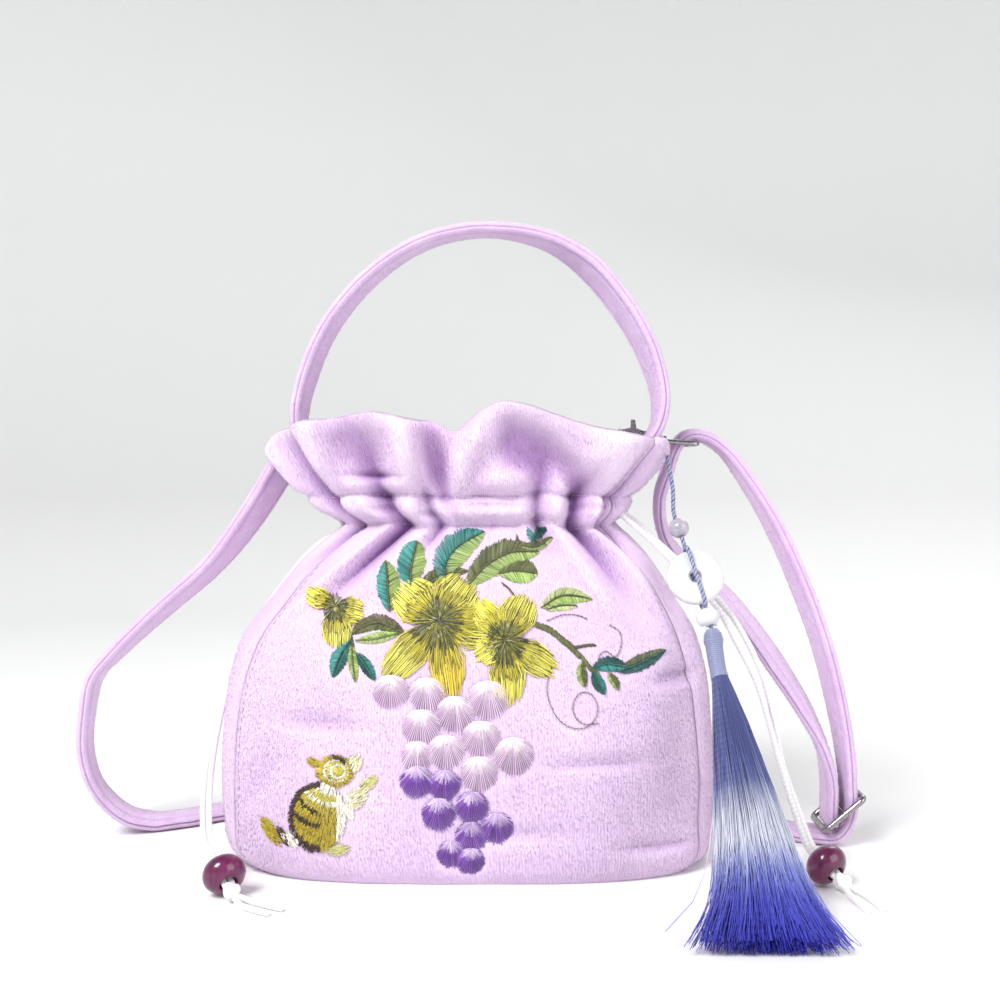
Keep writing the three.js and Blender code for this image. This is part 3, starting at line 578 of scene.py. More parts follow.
def cloth_row(turns, z, frill=0.0, clear=0.0, fine=False):
    """A row of cloth points in mm; frill 0 to 1 goes from the casing's top to the rim."""
    turns = np.atleast_1d(np.asarray(turns, float))
    section = section_at(z)
    if frill > 0:
        share = frill ** 0.8
        section = section_at(CASING_TOP) * (1 - share) + RIM_SECTION * share
    x, y, nx, ny = outline(section, turns)
    push = gather_push(turns, z, frill, fine) + frill * rim_at(turns, 2) + clear
    height = row_height(turns, z, frill)
    if fine:
        push = push + (fold_relief(turns, height) + slack_relief(x, y, height))
        push = push - RIM_ROLL * max(0, frill - ROLL_FROM) ** 2 / (1 - ROLL_FROM) ** 2
    return np.stack([x + nx * push, y + ny * push, height], axis=-1)


RIM_ROLL = 2.6
ROLL_FROM = 0.82
CASING_PUFF = 1.5
STITCH_PINCH = 1.3
SLACK = 0.9
# Turn, height, half width in degrees, half height, push, and degrees of swing per mm upwards.
FOLDS = [
    (-80, 160, 6, 13, 4, 0), (-68, 162, 4.5, 16, -6, 0), (-57, 168, 4.5, 15, 4.6, 0.1),
    (-42, 169, 12, 13, -5.8, 0), (-39, 157.6, 11, 1.7, -3, 0), (-39, 154, 11, 2.6, 2.6, 0),
    (-23, 165, 5, 17, 5.4, 0), (-12.5, 164, 5, 19, -7.6, -0.1), (-2, 163, 5, 14, 4.4, 0.3),
    (6, 176, 6, 9, 4.6, 0.1), (13, 155, 10, 4.4, 3.6, 0), (20, 169, 12, 14, -7.8, -0.6),
    (43, 157, 6, 10, -5, -0.8), (53, 163, 9, 14, 5, 0), (66, 160, 4.5, 12, -2.6, 0),
    (8, 145.6, 13, 1.5, -2, 0.3), (-42, 144, 8, 1.5, -1.7, -0.6), (52, 144.5, 7, 1.6, -1.8, 0.5),
    (-22, 142, 5, 1.6, -1.4, 0.4), (118, 166, 5, 14, -3.6, 0), (134, 164, 6, 13, 3.6, 0),
    (153, 165, 6, 13, -4, 0.2), (171, 163, 6, 12, 4, 0), (190, 166, 6, 13, -4.4, -0.2),
    (210, 164, 6, 12, 4, 0), (229, 166, 6, 13, -4, 0), (246, 163, 5, 12, 3, 0), (-90, 158, 5, 9, -2.4, 0),
    (90, 157, 5, 9, -2.4, 0), (62, 78, 9, 3, -2.6, 0.6), (36, 47, 14, 2.6, -2.2, 0.4),
    (52, 13, 12, 2.2, -2.4, 0), (-40, 62, 12, 4, -2.2, -0.5), (-58, 40, 6, 12, -2, 0.3),
    (10, 20, 18, 3, -1.7, 0.3), (-54, 118, 5, 16, 2.4, 0.55), (44, 116, 4, 15, 2.2, -0.35),
    (66, 112, 5, 16, 2.4, -0.2), (-30, 124, 5, 9, 1.8, 0.4), (160, 90, 9, 14, -1.8, 0.4),
    (200, 70, 10, 10, -1.8, -0.4), (180, 30, 16, 4, -1.3, 0.3),
]
# Turn, and how far the casing's lower edge droops there.
DROOP = np.array([
    (-180, 0), (-75, 0), (-58, 1.2), (-44, 0), (-30, 1.4), (-14, -0.6), (6, 0.8), (20, 0.4), (33, -1.2),
    (50, 1.8), (68, 0.4), (80, 0), (180, 0),
])


def casing_edge(line, turns):
    """Height of a casing stitch line, which wavers as hand-guided sewing does."""
    angle = np.radians(turns)
    droop = np.interp(wrap(turns), *DROOP.T) if line == CASING_BOTTOM else 0
    return line - droop + 0.8 * np.sin(5 * angle + line) + 0.5 * np.sin(13 * angle + 1)


def fold_relief(turns, height):
    """Relief of the casing, its pinched stitch lines and the folds of the table."""
    low, high = casing_edge(CASING_BOTTOM, turns), casing_edge(CASING_TOP, turns)
    relief = CASING_PUFF * np.sin(math.pi * np.clip((height - low) / (high - low), 0, 1))
    relief = relief * (1 + 0.5 * np.sin(np.radians(7 * turns + 40)))
    for line in (low, high):
        relief = relief - STITCH_PINCH * np.exp(-((height - line) / 1.2) ** 2)
    for turn, level, half, tall, push, swing in FOLDS:
        off = wrap(turns - turn - swing * (height - level)) / half
        relief = relief + push * np.exp(-(off ** 2 + ((height - level) / tall) ** 2) ** 1.4)
    return relief


def slack_relief(x, y, height):
    """Soft dents of cloth that isn't drawn tight."""
    slack = []
    for px, py, h in zip(x, y, height):
        wide, narrow = Vector((px / 46, py / 46, h / 38)), Vector((px / 19, py / 19, h / 26))
        slack.append(noise.noise(wide) + 0.5 * noise.noise(narrow))
    return SLACK * np.array(slack)


print("front middle at 60 mm:", cloth_row(0, 60).round(1).tolist()[0])

# %% [markdown]
# The cords come before the cloth is drawn, because they decide how far the model spreads. Each
# drawstring is a satin cord that leaves the casing, hangs, goes through its bead, is knotted and
# ends in a short tail on the floor. The route is a short list of chosen points.

# %% Drawstrings: the routes
CORD_DIAMETER = 2.4
CLEAR = 0.4
BEAD = {"radius": 8.2, "hole": 3.2, "height": 11, "knot": 9.3, "knot_radius": 3.7}
BEAD_AXIS = unit((0.45, -0.75, -0.46))
BEAD_PLACES = {"left": np.array((-90, -60, 8.4)), "right": np.array((138.5, -49, 8.5))}
BESIDE = unit(np.cross((0, 0, 1), BEAD_AXIS))


def bead_point(side, along, across=0.0):
    """A point by a bead, along its hole from the casing side to the knot and beside it."""
    return BEAD_PLACES[side] + BEAD_AXIS * along + BESIDE * across


def laid(turn):
    """Points of a cord that lies on the left gusset, from the casing down."""
    heights = [(142.6, 1.5), (136, 2.2), (129, 2.4), (121, 2.4), (112, 2.3), (103, 2.2), (92, 2)]
    return [cloth_row(turn, z, 0, clear)[0] for z, clear in heights]


CORD_ROUTES = {
    "left_cord_front": laid(-100) + [
        (-99.8, 10.5, 79), (-103, 5.5, 65), (-105.2, -1, 51), (-105.6, -10, 38.5), (-103.5, -25, 26.5),
        (-98.6, -43.5, 17)],
    "left_cord_back": laid(-104) + [
        (-100.4, 15, 78.5), (-104.2, 10, 64), (-107.4, 3, 50), (-108.4, -7.5, 37), (-106.4, -23, 25),
        (-101.4, -42, 16)],
    "right_cord_front": [
        (61.8, -11.2, 142.6), (68.4, -13.2, 137.2), (77, -15.5, 129.5), (84, -18, 122), (92, -19.5, 114),
        (101, -20.5, 104.5), (109, -21.5, 90), (117, -22, 74), (122.2, -22.5, 57), (126.4, -26, 40),
        (129.6, -32.5, 26)],
    "right_cord_back": [
        (64.2, -6.8, 142.6), (71, -9, 137.2), (78.5, -11.5, 130), (86, -14, 123), (94.5, -15.5, 115),
        (104, -16.5, 105.5), (113.5, -17.5, 91), (120.6, -18, 75), (124.8, -18.8, 58), (127.6, -22, 41),
        (131.6, -29, 26.5)],
}
TAIL_ROUTES = {
    "left_cord_front": [(-81.6, -73.4, 1.6), (-76.4, -77.8, 1.4), (-69.6, -82.2, 1.4)],
    "left_cord_back": [(-78.8, -69.4, 1.6), (-72.6, -73.2, 1.4), (-65.4, -77.6, 1.4)],
    "right_cord_front": [(143.6, -63.4, 1.6), (144.6, -71, 1.4), (145.4, -80, 1.4)],
    "right_cord_back": [(148.6, -61.4, 1.6), (150.6, -69, 1.4), (151.6, -78, 1.4)],
}
BEAD_SIDE_STEP = 1.4
INNER_STRANDS = ("left_cord_front", "right_cord_back")


def whole_route(name):
    """Casing to bead, knot and tail as one line."""
    side = name.split("_")[0]
    across = BEAD_SIDE_STEP if name in INNER_STRANDS else -BEAD_SIDE_STEP
    through = [bead_point(side, along, across) for along in (-9, -3, 5)]
    return CORD_ROUTES[name] + through + [bead_point(side, BEAD["knot"], across * 0.4)] + TAIL_ROUTES[name]


cord_lines = {name: smooth_path(whole_route(name), 8)[0] for name in CORD_ROUTES}
for name, line in cord_lines.items():
    print(name, "is", round(path_length(line)), "mm long")

# %% [markdown]
# Each cord piece replaces the plain tubes of the frame. The knot is drawn as a real one: a
# trefoil line, which is how a simple overhand knot runs, thick enough that its turns touch. One
# helper, used for every piece from here on, says which body a piece rides on.

# %% Drawstrings: cords and knots
CORD_WHITE = screen_colour("f4f1f2")


def dress(piece, slot, *nodes, body="purse"):
    """Fix a piece to a body and hide the frame solids it stands for; slot is not used."""
    if nodes:
        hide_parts(*nodes)
    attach(piece, body)
    return piece


def knot_line(centre, radius):
    """A closed overhand line about a centre, in mm."""
    t = np.linspace(0, 2 * math.pi, 49)
    shape = np.stack([np.sin(t) + 2 * np.sin(2 * t), np.cos(t) - 2 * np.cos(2 * t),
                      -2.2 * np.sin(3 * t)], -1)
    over = np.cross(BEAD_AXIS, BESIDE)
    wound = shape[:, :1] * BESIDE + shape[:, 1:2] * over + shape[:, 2:] * BEAD_AXIS
    return centre + wound * (radius / 3)


KNOT_CORD = 1.35
knots, cords = {}, {}
for side in BEAD_PLACES:
    line = knot_line(bead_point(side, BEAD["knot"]), BEAD["knot_radius"] - KNOT_CORD)
    knots[side] = strands(f"{side}_knot_tied", [(line, KNOT_CORD, CORD_WHITE)], CORD_SATIN, 10)
    dress(knots[side], "white_cord", f"{side}_knot")
for name, line in cord_lines.items():
    cords[name] = strands(f"{name}_satin", [(line, CORD_DIAMETER / 2, CORD_WHITE)], CORD_SATIN, 12)
    dress(cords[name], "white_cord", name, name.replace("cord", "tail"))
print("cords:", len(cords), "knots:", len(knots), "triangles each:", triangles(cords["left_cord_front"]))

# %% [markdown]
# Beads, discs and other turned pieces are a profile spun round an axis. The helper closes the
# ring of faces itself, so there is no seam to merge, and aims the axis where the piece needs it.
# Sheets and bands are grids of points, and a second helper gives the faces between their rows.

# %% Turned pieces
def turned(name, profile, axis, centre, finish, sides=64):
    """A closed profile of (radius, height) points in mm, spun round an axis through a centre."""
    axis = unit(axis)
    side = unit(np.cross(axis, (0, 1, 0) if abs(axis[1]) < 0.9 else (1, 0, 0)))
    other = np.cross(axis, side)
    profile = np.asarray(profile, float)
    angle = np.linspace(0, 2 * math.pi, sides, endpoint=False)
    ring = np.cos(angle)[:, None] * side + np.sin(angle)[:, None] * other
    points = centre + ring[:, None, :] * profile[None, :, :1] + profile[None, :, 1:] * axis
    count = len(profile)
    faces = [(i * count + j, (i + 1) % sides * count + j, (i + 1) % sides * count + (j + 1) % count,
              i * count + (j + 1) % count) for i in range(sides) for j in range(count)]
    return mesh_piece(name, points.reshape(-1, 3), faces, finish)


def mesh_piece(name, points, faces, *finishes):
    """A smooth mesh piece from points in mm, with its faces turned outwards."""
    mesh = bpy.data.meshes.new(name)
    mesh.from_pydata((np.asarray(points, float) * MM).tolist(), [], faces)
    shape = bmesh.new()
    shape.from_mesh(mesh)
    bmesh.ops.recalc_face_normals(shape, faces=shape.faces)
    shape.to_mesh(mesh)
    shape.free()
    mesh.shade_smooth()
    for finish in finishes:
        mesh.materials.append(finish)
    return link_piece(name, mesh)


def grid_faces(rows, columns, closed):
    """Four-sided faces of a grid of points, row by row; closed joins the ends of each row."""
    steps = [(i, (i + 1) % columns) for i in range(columns if closed else columns - 1)]
    return [(j * columns + a, j * columns + b, (j + 1) * columns + b, (j + 1) * columns + a)
            for j in range(rows - 1) for a, b in steps]


RING_FULLNESS = 4.0


def ring_profile(outer, hole, height):
    """A rounded ring section; a fullness of 2 would be an ellipse and more is squarer."""
    angle = np.linspace(0, 2 * math.pi, 20, endpoint=False)
    c, s = np.cos(angle), np.sin(angle)
    c, s = np.sign(c) * abs(c) ** (2 / RING_FULLNESS), np.sign(s) * abs(s) ** (2 / RING_FULLNESS)
    return np.stack([(outer + hole) / 2 + (outer - hole) / 2 * c, height / 2 * s], axis=-1)


def bead_profile(outer, hole, height):
    """A ball's section with a drilled hole whose mouths are rounded."""
    reach = math.acos((hole + DRILL_EDGE) / outer)
    angle = np.linspace(-reach, reach, 25)
    ball = np.stack([outer * np.cos(angle), height / 2 * np.sin(angle) / math.sin(reach)], axis=-1)
    mouth = [(hole + 0.3 * DRILL_EDGE, 0.985 * height / 2), (hole, 0.93 * height / 2)]
    return np.vstack([ball, mouth, [(r, -h) for r, h in mouth[::-1]]])


DRILL_EDGE = 0.7
beads = {}
for side in BEAD_PLACES:
    profile = bead_profile(BEAD["radius"], BEAD["hole"], BEAD["height"])
    beads[side] = turned(f"{side}_bead_lacquered", profile, BEAD_AXIS, BEAD_PLACES[side], BEAD_LACQUER)
    dress(beads[side], "purple_bead", f"{side}_bead")
for name, line in cord_lines.items():
    side = name.split("_")[0]
print("beads:", len(beads), "triangles each:", triangles(beads["left"]))

# %% [markdown]
# Now the cloth. A panel is a grid of points on the outer face and another on the lining, joined
# round the four edges, so it has a real thickness. Its side edges roll inwards, as a sewn seam
# does, and the rim is a soft fold with an extra row of points along its crest.

# %% Pouch: panels
def cloth_levels():
    """Rows of (height, frill) from the floor to the rim, closer where the cloth folds."""
    low = np.concatenate([np.linspace(0, 9, 7), np.linspace(11, 112, 38), np.linspace(113.5, CASING_TOP, 34)])
    return [(z, 0.0) for z in low] + [(CASING_TOP, f) for f in np.linspace(0, 1, 33)[1:]]


LEVELS = cloth_levels()
SEAM_ROLL = 0.8
SEAM_ROLL_REACH = 1.6
HEM_CREST = 0.8
RIM_FOLD_SHADE = 0.4
PILE_FROM = 2.0


def fold_depth(turns):
    """How far each point of a panel lies in a valley (below 0) or on a ridge in mm, for painted shade and
    highlight.
    """
    rows = []
    for z, frill in LEVELS:
        folds = fold_relief(turns, row_height(turns, z, frill))
        rows.append(gather_push(turns, z, frill, True) + folds + RIM_FOLD_SHADE * frill * rim_at(turns, 2))
    return np.concatenate(rows)


def panel_grid(turns, clear):
    """Rows of points of a panel, rolled in at its two seams."""
    rows = []
    for z, frill in LEVELS:
        row = cloth_row(turns, z, frill, clear, True)
        girth = run_along(row[:, :2])
        edge = np.minimum(girth, girth[-1] - girth)
        inward = cloth_row(turns, z, frill, clear - 1, True) - row
        rows.append(row + inward * (SEAM_ROLL * np.exp(-(edge / SEAM_ROLL_REACH) ** 2))[:, None])
    return np.array(rows)


def cloth_panel(name, from_turn, to_turn, columns):
    """A panel piece with a plush outside and a satin inside; also returns its outer grid."""
    turns = np.linspace(from_turn, to_turn, columns + 1)
    outer, inner = panel_grid(turns, 0), panel_grid(turns, -WALL)
    crest = (outer[-1] + inner[-1]) / 2 + (0, 0, HEM_CREST)
    levels, stride = len(LEVELS), columns + 1
    points = np.vstack([outer.reshape(-1, 3), crest, inner[::-1].reshape(-1, 3)])
    rows = 2 * levels + 1
    last = (rows - 1) * stride
    faces = grid_faces(rows, stride, False) + [(i, last + i, last + i + 1, i + 1) for i in range(columns)]
    for i in (0, columns):
        for j in range(levels - 1):
            a, b = j * stride + i, last - j * stride + i
            faces.append((a, a + stride, b - stride, b) if i == 0 else (b, b - stride, a + stride, a))
        top = (levels - 1) * stride + i
        faces.append((top, top + stride, top + 2 * stride))
    piece = mesh_piece(name, points, faces, PLUSH, LINING)
    lined = np.zeros(len(faces), np.int32)
    lined[(levels + 1) * columns:(rows - 1) * columns] = 1
    piece.data.polygons.foreach_set("material_index", lined)
    # The fold depth paints shade into valleys and highlight onto ridges, through the plush finish.
    outside = {"pile": outer[..., 2].ravel() > PILE_FROM, "fold": fold_depth(turns),
               "turn": np.tile(turns, levels)}
    for key, values in outside.items():
        store(piece.data, key, np.concatenate([values, np.zeros(len(points) - len(values))]))
    return piece, outer


PANELS = {
    "front_panel": (-SEAM_TURN + SEAM_GAP, SEAM_TURN - SEAM_GAP, 160),
    "right_gusset": (SEAM_TURN + SEAM_GAP, 180 - SEAM_TURN - SEAM_GAP, 44),
    "back_panel": (180 - SEAM_TURN + SEAM_GAP, 180 + SEAM_TURN - SEAM_GAP, 120),
    "left_gusset": (180 + SEAM_TURN + SEAM_GAP, 360 - SEAM_TURN - SEAM_GAP, 44),
}
cloth, outer_grids = {}, {}
for name, (from_turn, to_turn, columns) in PANELS.items():
    cloth[name], outer_grids[name] = cloth_panel(f"{name}_plush", from_turn, to_turn, columns)
    dress(cloth[name], "plush", name)
    print(cloth[name].name, triangles(cloth[name]), "triangles")

# %% [markdown]
# A panel was cut flat before it was sewn and gathered. Its flat area is the area of the outer
# grid, a little more where gathers take cloth up, and its flat size is the widest girth by the
# longest height. Here only the longest height of each outer grid is measured, in metres.


for name, grid in outer_grids.items():
    length = max(path_length(grid[:, i]) for i in range(grid.shape[1])) * MM

# %% [markdown]
# The handle and the strap are the same band: two layers of plush, turned and topstitched near
# both edges, which leaves a groove along each side and a notch where the layers meet. The section
# is drawn once as a formula and carried along the path, with a lean that lets the band twist as
# cloth does. The grooves and the notch are bare of pile and painted darker, a painted shade.

# %% Bands: section and paths
BAND_WIDTH = 18
BAND_THICK = 5
GROOVE_IN = 3.0
GROOVE_DEPTH = 0.9
EDGE_NOTCH = 1.1
# Fold depths in mm that paint shade into the notch and the grooves, and the depth below which no pile grows.
NOTCH_SHADE, GROOVE_SHADE, BARE_BELOW = -4.5, -3.2, -1.2
HANDLE_Y = -3
STRAP_Y = 19
# Places and lean of the band, in degrees.
HANDLE = np.array([
    (-53, HANDLE_Y, 155, 0), (-60.5, HANDLE_Y, 162.5, 0), (-67.5, HANDLE_Y, 170, 0),
    (-70.2, HANDLE_Y, 181, -5), (-67, HANDLE_Y, 197.6, -9), (-58, HANDLE_Y, 218.6, -9),
    (-43, HANDLE_Y, 237.5, -7), (-24.4, HANDLE_Y, 251.5, -3), (-6, HANDLE_Y, 258.2, 0),
    (13.4, HANDLE_Y, 259.4, 0), (34.2, HANDLE_Y, 254.6, -9), (50.4, HANDLE_Y, 244, -20),
    (65.2, HANDLE_Y, 226.4, -21), (75.4, HANDLE_Y, 208, -17), (80.2, HANDLE_Y, 190, -9),
    (79.3, HANDLE_Y, 179.5, -3), (75, HANDLE_Y, 171, 0), (69, HANDLE_Y, 163.5, 0), (61.2, HANDLE_Y, 155, 0),
])
STRAP = np.array([
    (-80.2, 12, 160.6, 28), (-94, 11, 138.7, 24), (-109.3, 12, 119.7, 16), (-133, 12, 98.9, 12),
    (-151, 13, 82.2, 6), (-161, 13, 71, 0), (-164.6, 14, 57.5, -4), (-166.3, 15.5, 38.5, -6),
    (-162.3, 18, 22, -8), (-152.5, 24.5, 8.6, -4), (-142, 30.5, 3.6, 0), (-130, 37, 2.9, 0),
    (-117, 47, 2.9, 0), (-98, 59, 2.9, 0), (-60, 68, 2.9, 0), (0, 70, 2.9, 0), (60, 67, 2.9, 0),
    (98, 52, 2.9, 0), (124, 30, 2.9, 0), (146, 14, 2.9, 0), (157.5, 8.6, 5, 0), (162, 8, 13, 0),
    (162.1, 8, 27, 0), (160.5, 8, 42, 4), (157, 9, 62, 8), (151, 10, 86, 9), (142.4, 12, 110.5, 10),
    (131.4, 15, 136, 8), (120, 18, 156, 4), (110.5, STRAP_Y, 168.6, 0), (101.5, STRAP_Y, 174.4, 0),
    (94, STRAP_Y, 174.5, 0), (88.8, STRAP_Y, 168.5, 0), (85.8, STRAP_Y, 159, 0), (82.6, STRAP_Y, 146, 4),
    (85.4, STRAP_Y, 130.5, 8), (98, 17.5, 116, 14), (110.6, 15.5, 105, 20), (121, 13.5, 92, 24),
    (131.6, 12, 77, 26), (144, 10, 57, 20), (151, 8.6, 42, 9), (154, 8, 28, 0), (154.2, 8, 16, 0),
    (154.2, 8, 9.2, 0),
])


def band_face(across):
    """Half thickness of the band at a distance across from its middle."""
    half = BAND_WIDTH / 2
    edge = np.clip(abs(across) / half, 0, 1)
    crown = BAND_THICK / 2 * (1 - edge ** 7) ** 0.5
    return crown - GROOVE_DEPTH * np.exp(-((abs(across) - half + GROOVE_IN) / 0.55) ** 2)


def band_frames(rows, per_span):
    """Centres, side directions and face directions along a band."""
    centres, along, places = smooth_path(rows[:, :3], per_span)
    lean = np.radians(np.interp(places, np.arange(len(rows)), rows[:, 3]))[:, None]
    wide = unit(np.array((0, 1, 0)) - along * along[:, 1:2])
    wide = wide * np.cos(lean) + np.cross(along, wide) * np.sin(lean)
    return centres, wide, np.cross(along, wide)


def band_piece(name, rows, per_span):
    """The band's mesh, swept along its path and closed at both ends."""
    centres, wide, up = band_frames(rows, per_span)
    across = -np.cos(np.linspace(0, math.pi, 33)) * BAND_WIDTH / 2
    upper = np.stack([across, band_face(across)], -1)
    upper[[0, -1], 0] *= 1 - EDGE_NOTCH / (BAND_WIDTH / 2)
    section = np.vstack([upper, (upper * (1, -1))[::-1][1:-1]])
    points = centres[:, None] + section[None, :, :1] * wide[:, None] + section[None, :, 1:] * up[:, None]
    count, rings = len(section), len(centres)
    faces = grid_faces(rings, count, True)
    faces += [tuple(range(count)), tuple(range((rings - 1) * count, rings * count))]
    piece = mesh_piece(name, points.reshape(-1, 3), faces, BAND_PLUSH)
    # Painted shade: the notch and the grooves get a fold depth that darkens their colour.
    from_groove = abs(section[:, 0]) - BAND_WIDTH / 2 + GROOVE_IN
    fold = np.where(abs(section[:, 1]) < 0.1, NOTCH_SHADE, GROOVE_SHADE * np.exp(-(from_groove / 0.7) ** 2))
    store(piece.data, "fold", np.tile(fold, rings))
    store(piece.data, "pile", np.tile(fold > BARE_BELOW, rings))
    return piece


# Path, samples for each span of it, and how the cloth is held.
BANDS = {"top_handle": (HANDLE, 7, "stretched"), "shoulder_strap": (STRAP, 6, "laid")}
bands = {}
for name, (rows, per_span, _) in BANDS.items():
    bands[name] = dress(band_piece(f"{name}_plush", rows, per_span), "plush", name)
    print(bands[name].name, triangles(bands[name]), "triangles")

# %% [markdown]
# The strap and the handle are bands of cloth cut to a length, which is measured along each path.

# %% Bands: flat sizes
for name, (rows, _, held) in BANDS.items():
    length = path_length(smooth_path(rows[:, :3], 10)[0]) * MM
    print(name, "is", round(length * 1000), "mm long")

# %% [markdown]
# A row of stitches is short thread pieces with gaps, so a helper cuts a line into stitches. Each
# one dives a little at both ends, as thread does where the needle goes in.

# %% Stitch rows
STITCH = {"length": 2.5, "gap": 0.9, "radius": 0.24, "sink": 0.35}
SEWING_LILAC = screen_colour("d3b2db")


def stitch_row(line, outward):
    """Guide rows for stitches along a line of points, with the surface's outward directions."""
    run = run_along(line)
    length, radius, sink = STITCH["length"], STITCH["radius"], STITCH["sink"]
    arch = np.array((-sink, 0.5 * radius, radius, 0.5 * radius, -sink))[:, None]
    rows = []
    for start in np.arange(0, run[-1] - length, length + STITCH["gap"]):
        place = start + np.linspace(0, 1, len(arch)) * length
        points = at_places(place, run, line) + at_places(place, run, outward) * arch
        rows.append((points, radius, SEWING_LILAC))
    return rows


def band_stitches(rows, per_span):
    """Four stitch rows: near both edges of both faces."""
    centres, wide, up = band_frames(rows, per_span)
    found = []
    for across in (-1, 1):
        offset = across * (BAND_WIDTH / 2 - GROOVE_IN)
        for face in (-1, 1):
            line = centres + wide * offset + up * (face * band_face(np.float64(offset)))
            found += stitch_row(line, up * face)
    return found


band_rows = [row for rows, per_span, _ in BANDS.values() for row in band_stitches(rows, per_span)]
band_thread = dress(strands("band_topstitching", band_rows, NEEDLE_THREAD, 3), "plush")
print("band topstitching:", triangles(band_thread), "triangles")

# %% [markdown]
# The pouch has two stitch rows round the casing and one beside each upright seam. They lie on the
# cloth, so their lines come from the same cloth function, a hair outside its surface.

# %% Pouch: stitch rows
OUTSIDE = (0.1, 1.1)


def on_outside(places):
    """A line of cloth points (turn, height, frill), a hair outside, and its outward directions."""
    line, out = (np.array([cloth_row(*place, clear, True)[0] for place in places]) for clear in OUTSIDE)
    return line, unit(out - line)


def casing_places(edge):
    """Places round the pouch along a casing edge."""
    turns = np.linspace(-180, 180, 721)
    for turn, z in zip(turns, casing_edge(edge, turns)):
        yield turn, min(z, CASING_TOP), max(0.0, (z - CASING_TOP) / (float(rim_at(turn, 1)) - CASING_TOP))


SEAM_STITCH_IN = 2.6
pouch_rows = []
for edge in (CASING_BOTTOM, CASING_TOP):
    pouch_rows += stitch_row(*on_outside(list(casing_places(edge))))
for seam in (SEAM_TURN - SEAM_STITCH_IN, 180 - SEAM_TURN + SEAM_STITCH_IN,
             180 + SEAM_TURN - SEAM_STITCH_IN, -SEAM_TURN + SEAM_STITCH_IN):
    pouch_rows += stitch_row(*on_outside([(seam, z, frill) for z, frill in LEVELS]))
dress(strands("pouch_stitching", pouch_rows, NEEDLE_THREAD, 4), "plush")
print("pouch stitching:", len(pouch_rows), "stitches")

# %% [markdown]
# The pendant hangs from the right corner of the frill: a twisted cord, a small glassy bead, a
# pale stone disc held by the cord over both its faces, a milky bead and the tassel. Everything
# below the first bend lies on one straight line, so places are distances down that line.

# %% Pendant: places
PENDANT = {"bead": 2, "disc": 24, "neck": 41.2, "head": 45.6, "cord": 1.8}
PENDANT_TOP = np.array((85.2, -19, 138))
DOWN = unit((10.6, -19.6, -39.6))
FACE = unit(np.cross(np.array((1, 0, 0)) - DOWN * DOWN[0], DOWN))
DISC = {"radius": 11.3, "hole": 2.3, "thick": 4.6}
OVER_FACE = DISC["thick"] / 2 + CLEAR + PENDANT["cord"] / 2


def hang(along, out=0.0):
    """A point down the pendant's line and out from the disc's face."""
    return PENDANT_TOP + DOWN * along + FACE * out


sewn_top = cloth_row(79, CASING_TOP, 0.72, CLEAR + PENDANT["cord"] / 2)[0]
upper_route = [sewn_top, (83.6, -17, 152), hang(-5), hang(5), hang(PENDANT["disc"] - 12.9)]
over_route = [hang(PENDANT["disc"] + a, o * OVER_FACE)
              for a, o in ((-12.9, 0.2), (-12, 0.9), (-5, 1), (0, 0.78), (5, 1), (12, 0.9), (12.9, 0.2))]
lower_route = [hang(PENDANT["disc"] + 12.9), hang(PENDANT["neck"]), hang(PENDANT["head"])]
pendant_line = smooth_path(upper_route[:-1] + over_route + lower_route[1:], 10)[0]
back_line = smooth_path([hang(PENDANT["disc"] + a, -o * OVER_FACE)
                         for a, o in ((-12.9, 0.2), (-12, 0.9), (0, 1), (12, 0.9), (12.9, 0.2))], 10)[0]
print("pendant cord is", round(path_length(pendant_line)), "mm long")

# %% [markdown]
# A twisted cord is a few plies that wind about the same line. The helper carries a frame
# along the line and winds each ply round it, and the plies differ in colour: slate and silver.

# %% Pendant: twisted cord
def plies(line, radius, pitch, colours):
    """Guide rows of plies wound about a line."""
    fine = smooth_path(line, 3)[0]
    along = unit(np.gradient(fine, axis=0))
    side = unit(np.cross(along, (0.2, 1, 0.1)))
    other = np.cross(along, side)
    run = run_along(fine)
    rows = []
    for k, colour in enumerate(colours):
        angle = (2 * math.pi * (run / pitch + k / len(colours)))[:, None]
        out = side * np.cos(angle) + other * np.sin(angle)
        rows.append((fine + out * radius * 0.52, radius * 0.48, colour))
    return rows


SILVER = screen_colour("a3a8be")
ply_colours = [screen_colour("4a5380"), SILVER, screen_colour("6b7399"), SILVER]
TWIST_PITCH = 3.6
cord_rows, back_rows = (plies(line, PENDANT["cord"] / 2, TWIST_PITCH, ply_colours)
                        for line in (pendant_line, back_line))
pendant_cord = dress(strands("pendant_cord_twisted", cord_rows, SILK_STRAND, 5), "blue_cord", "pendant_cord")
back_cord = dress(strands("pendant_cord_behind", back_rows, SILK_STRAND, 5), "blue_cord")
print("pendant cord:", triangles(pendant_cord) + triangles(back_cord), "triangles")

# %% [markdown]
# The stones are turned pieces: a small glassy bead, a flat disc with a hole and rounded edges, and
# a milky bead above the tassel. The disc's section is two rings of points on each face and a
# half circle round each edge.

# %% Pendant: beads and disc
disc_edge = np.linspace(-math.pi / 2, math.pi / 2, 9)
outer_edge = [(DISC["radius"] - 1.5 + 1.5 * math.cos(a), DISC["thick"] / 2 * math.sin(a)) for a in disc_edge]
inner_edge = [(DISC["hole"] + 0.8 - 0.8 * math.cos(a), -DISC["thick"] / 2 * math.sin(a)) for a in disc_edge]
rings = [(r, -DISC["thick"] / 2) for r in (4.5, 7)]
disc_profile = rings + outer_edge + [(r, -h) for r, h in rings[::-1]] + inner_edge
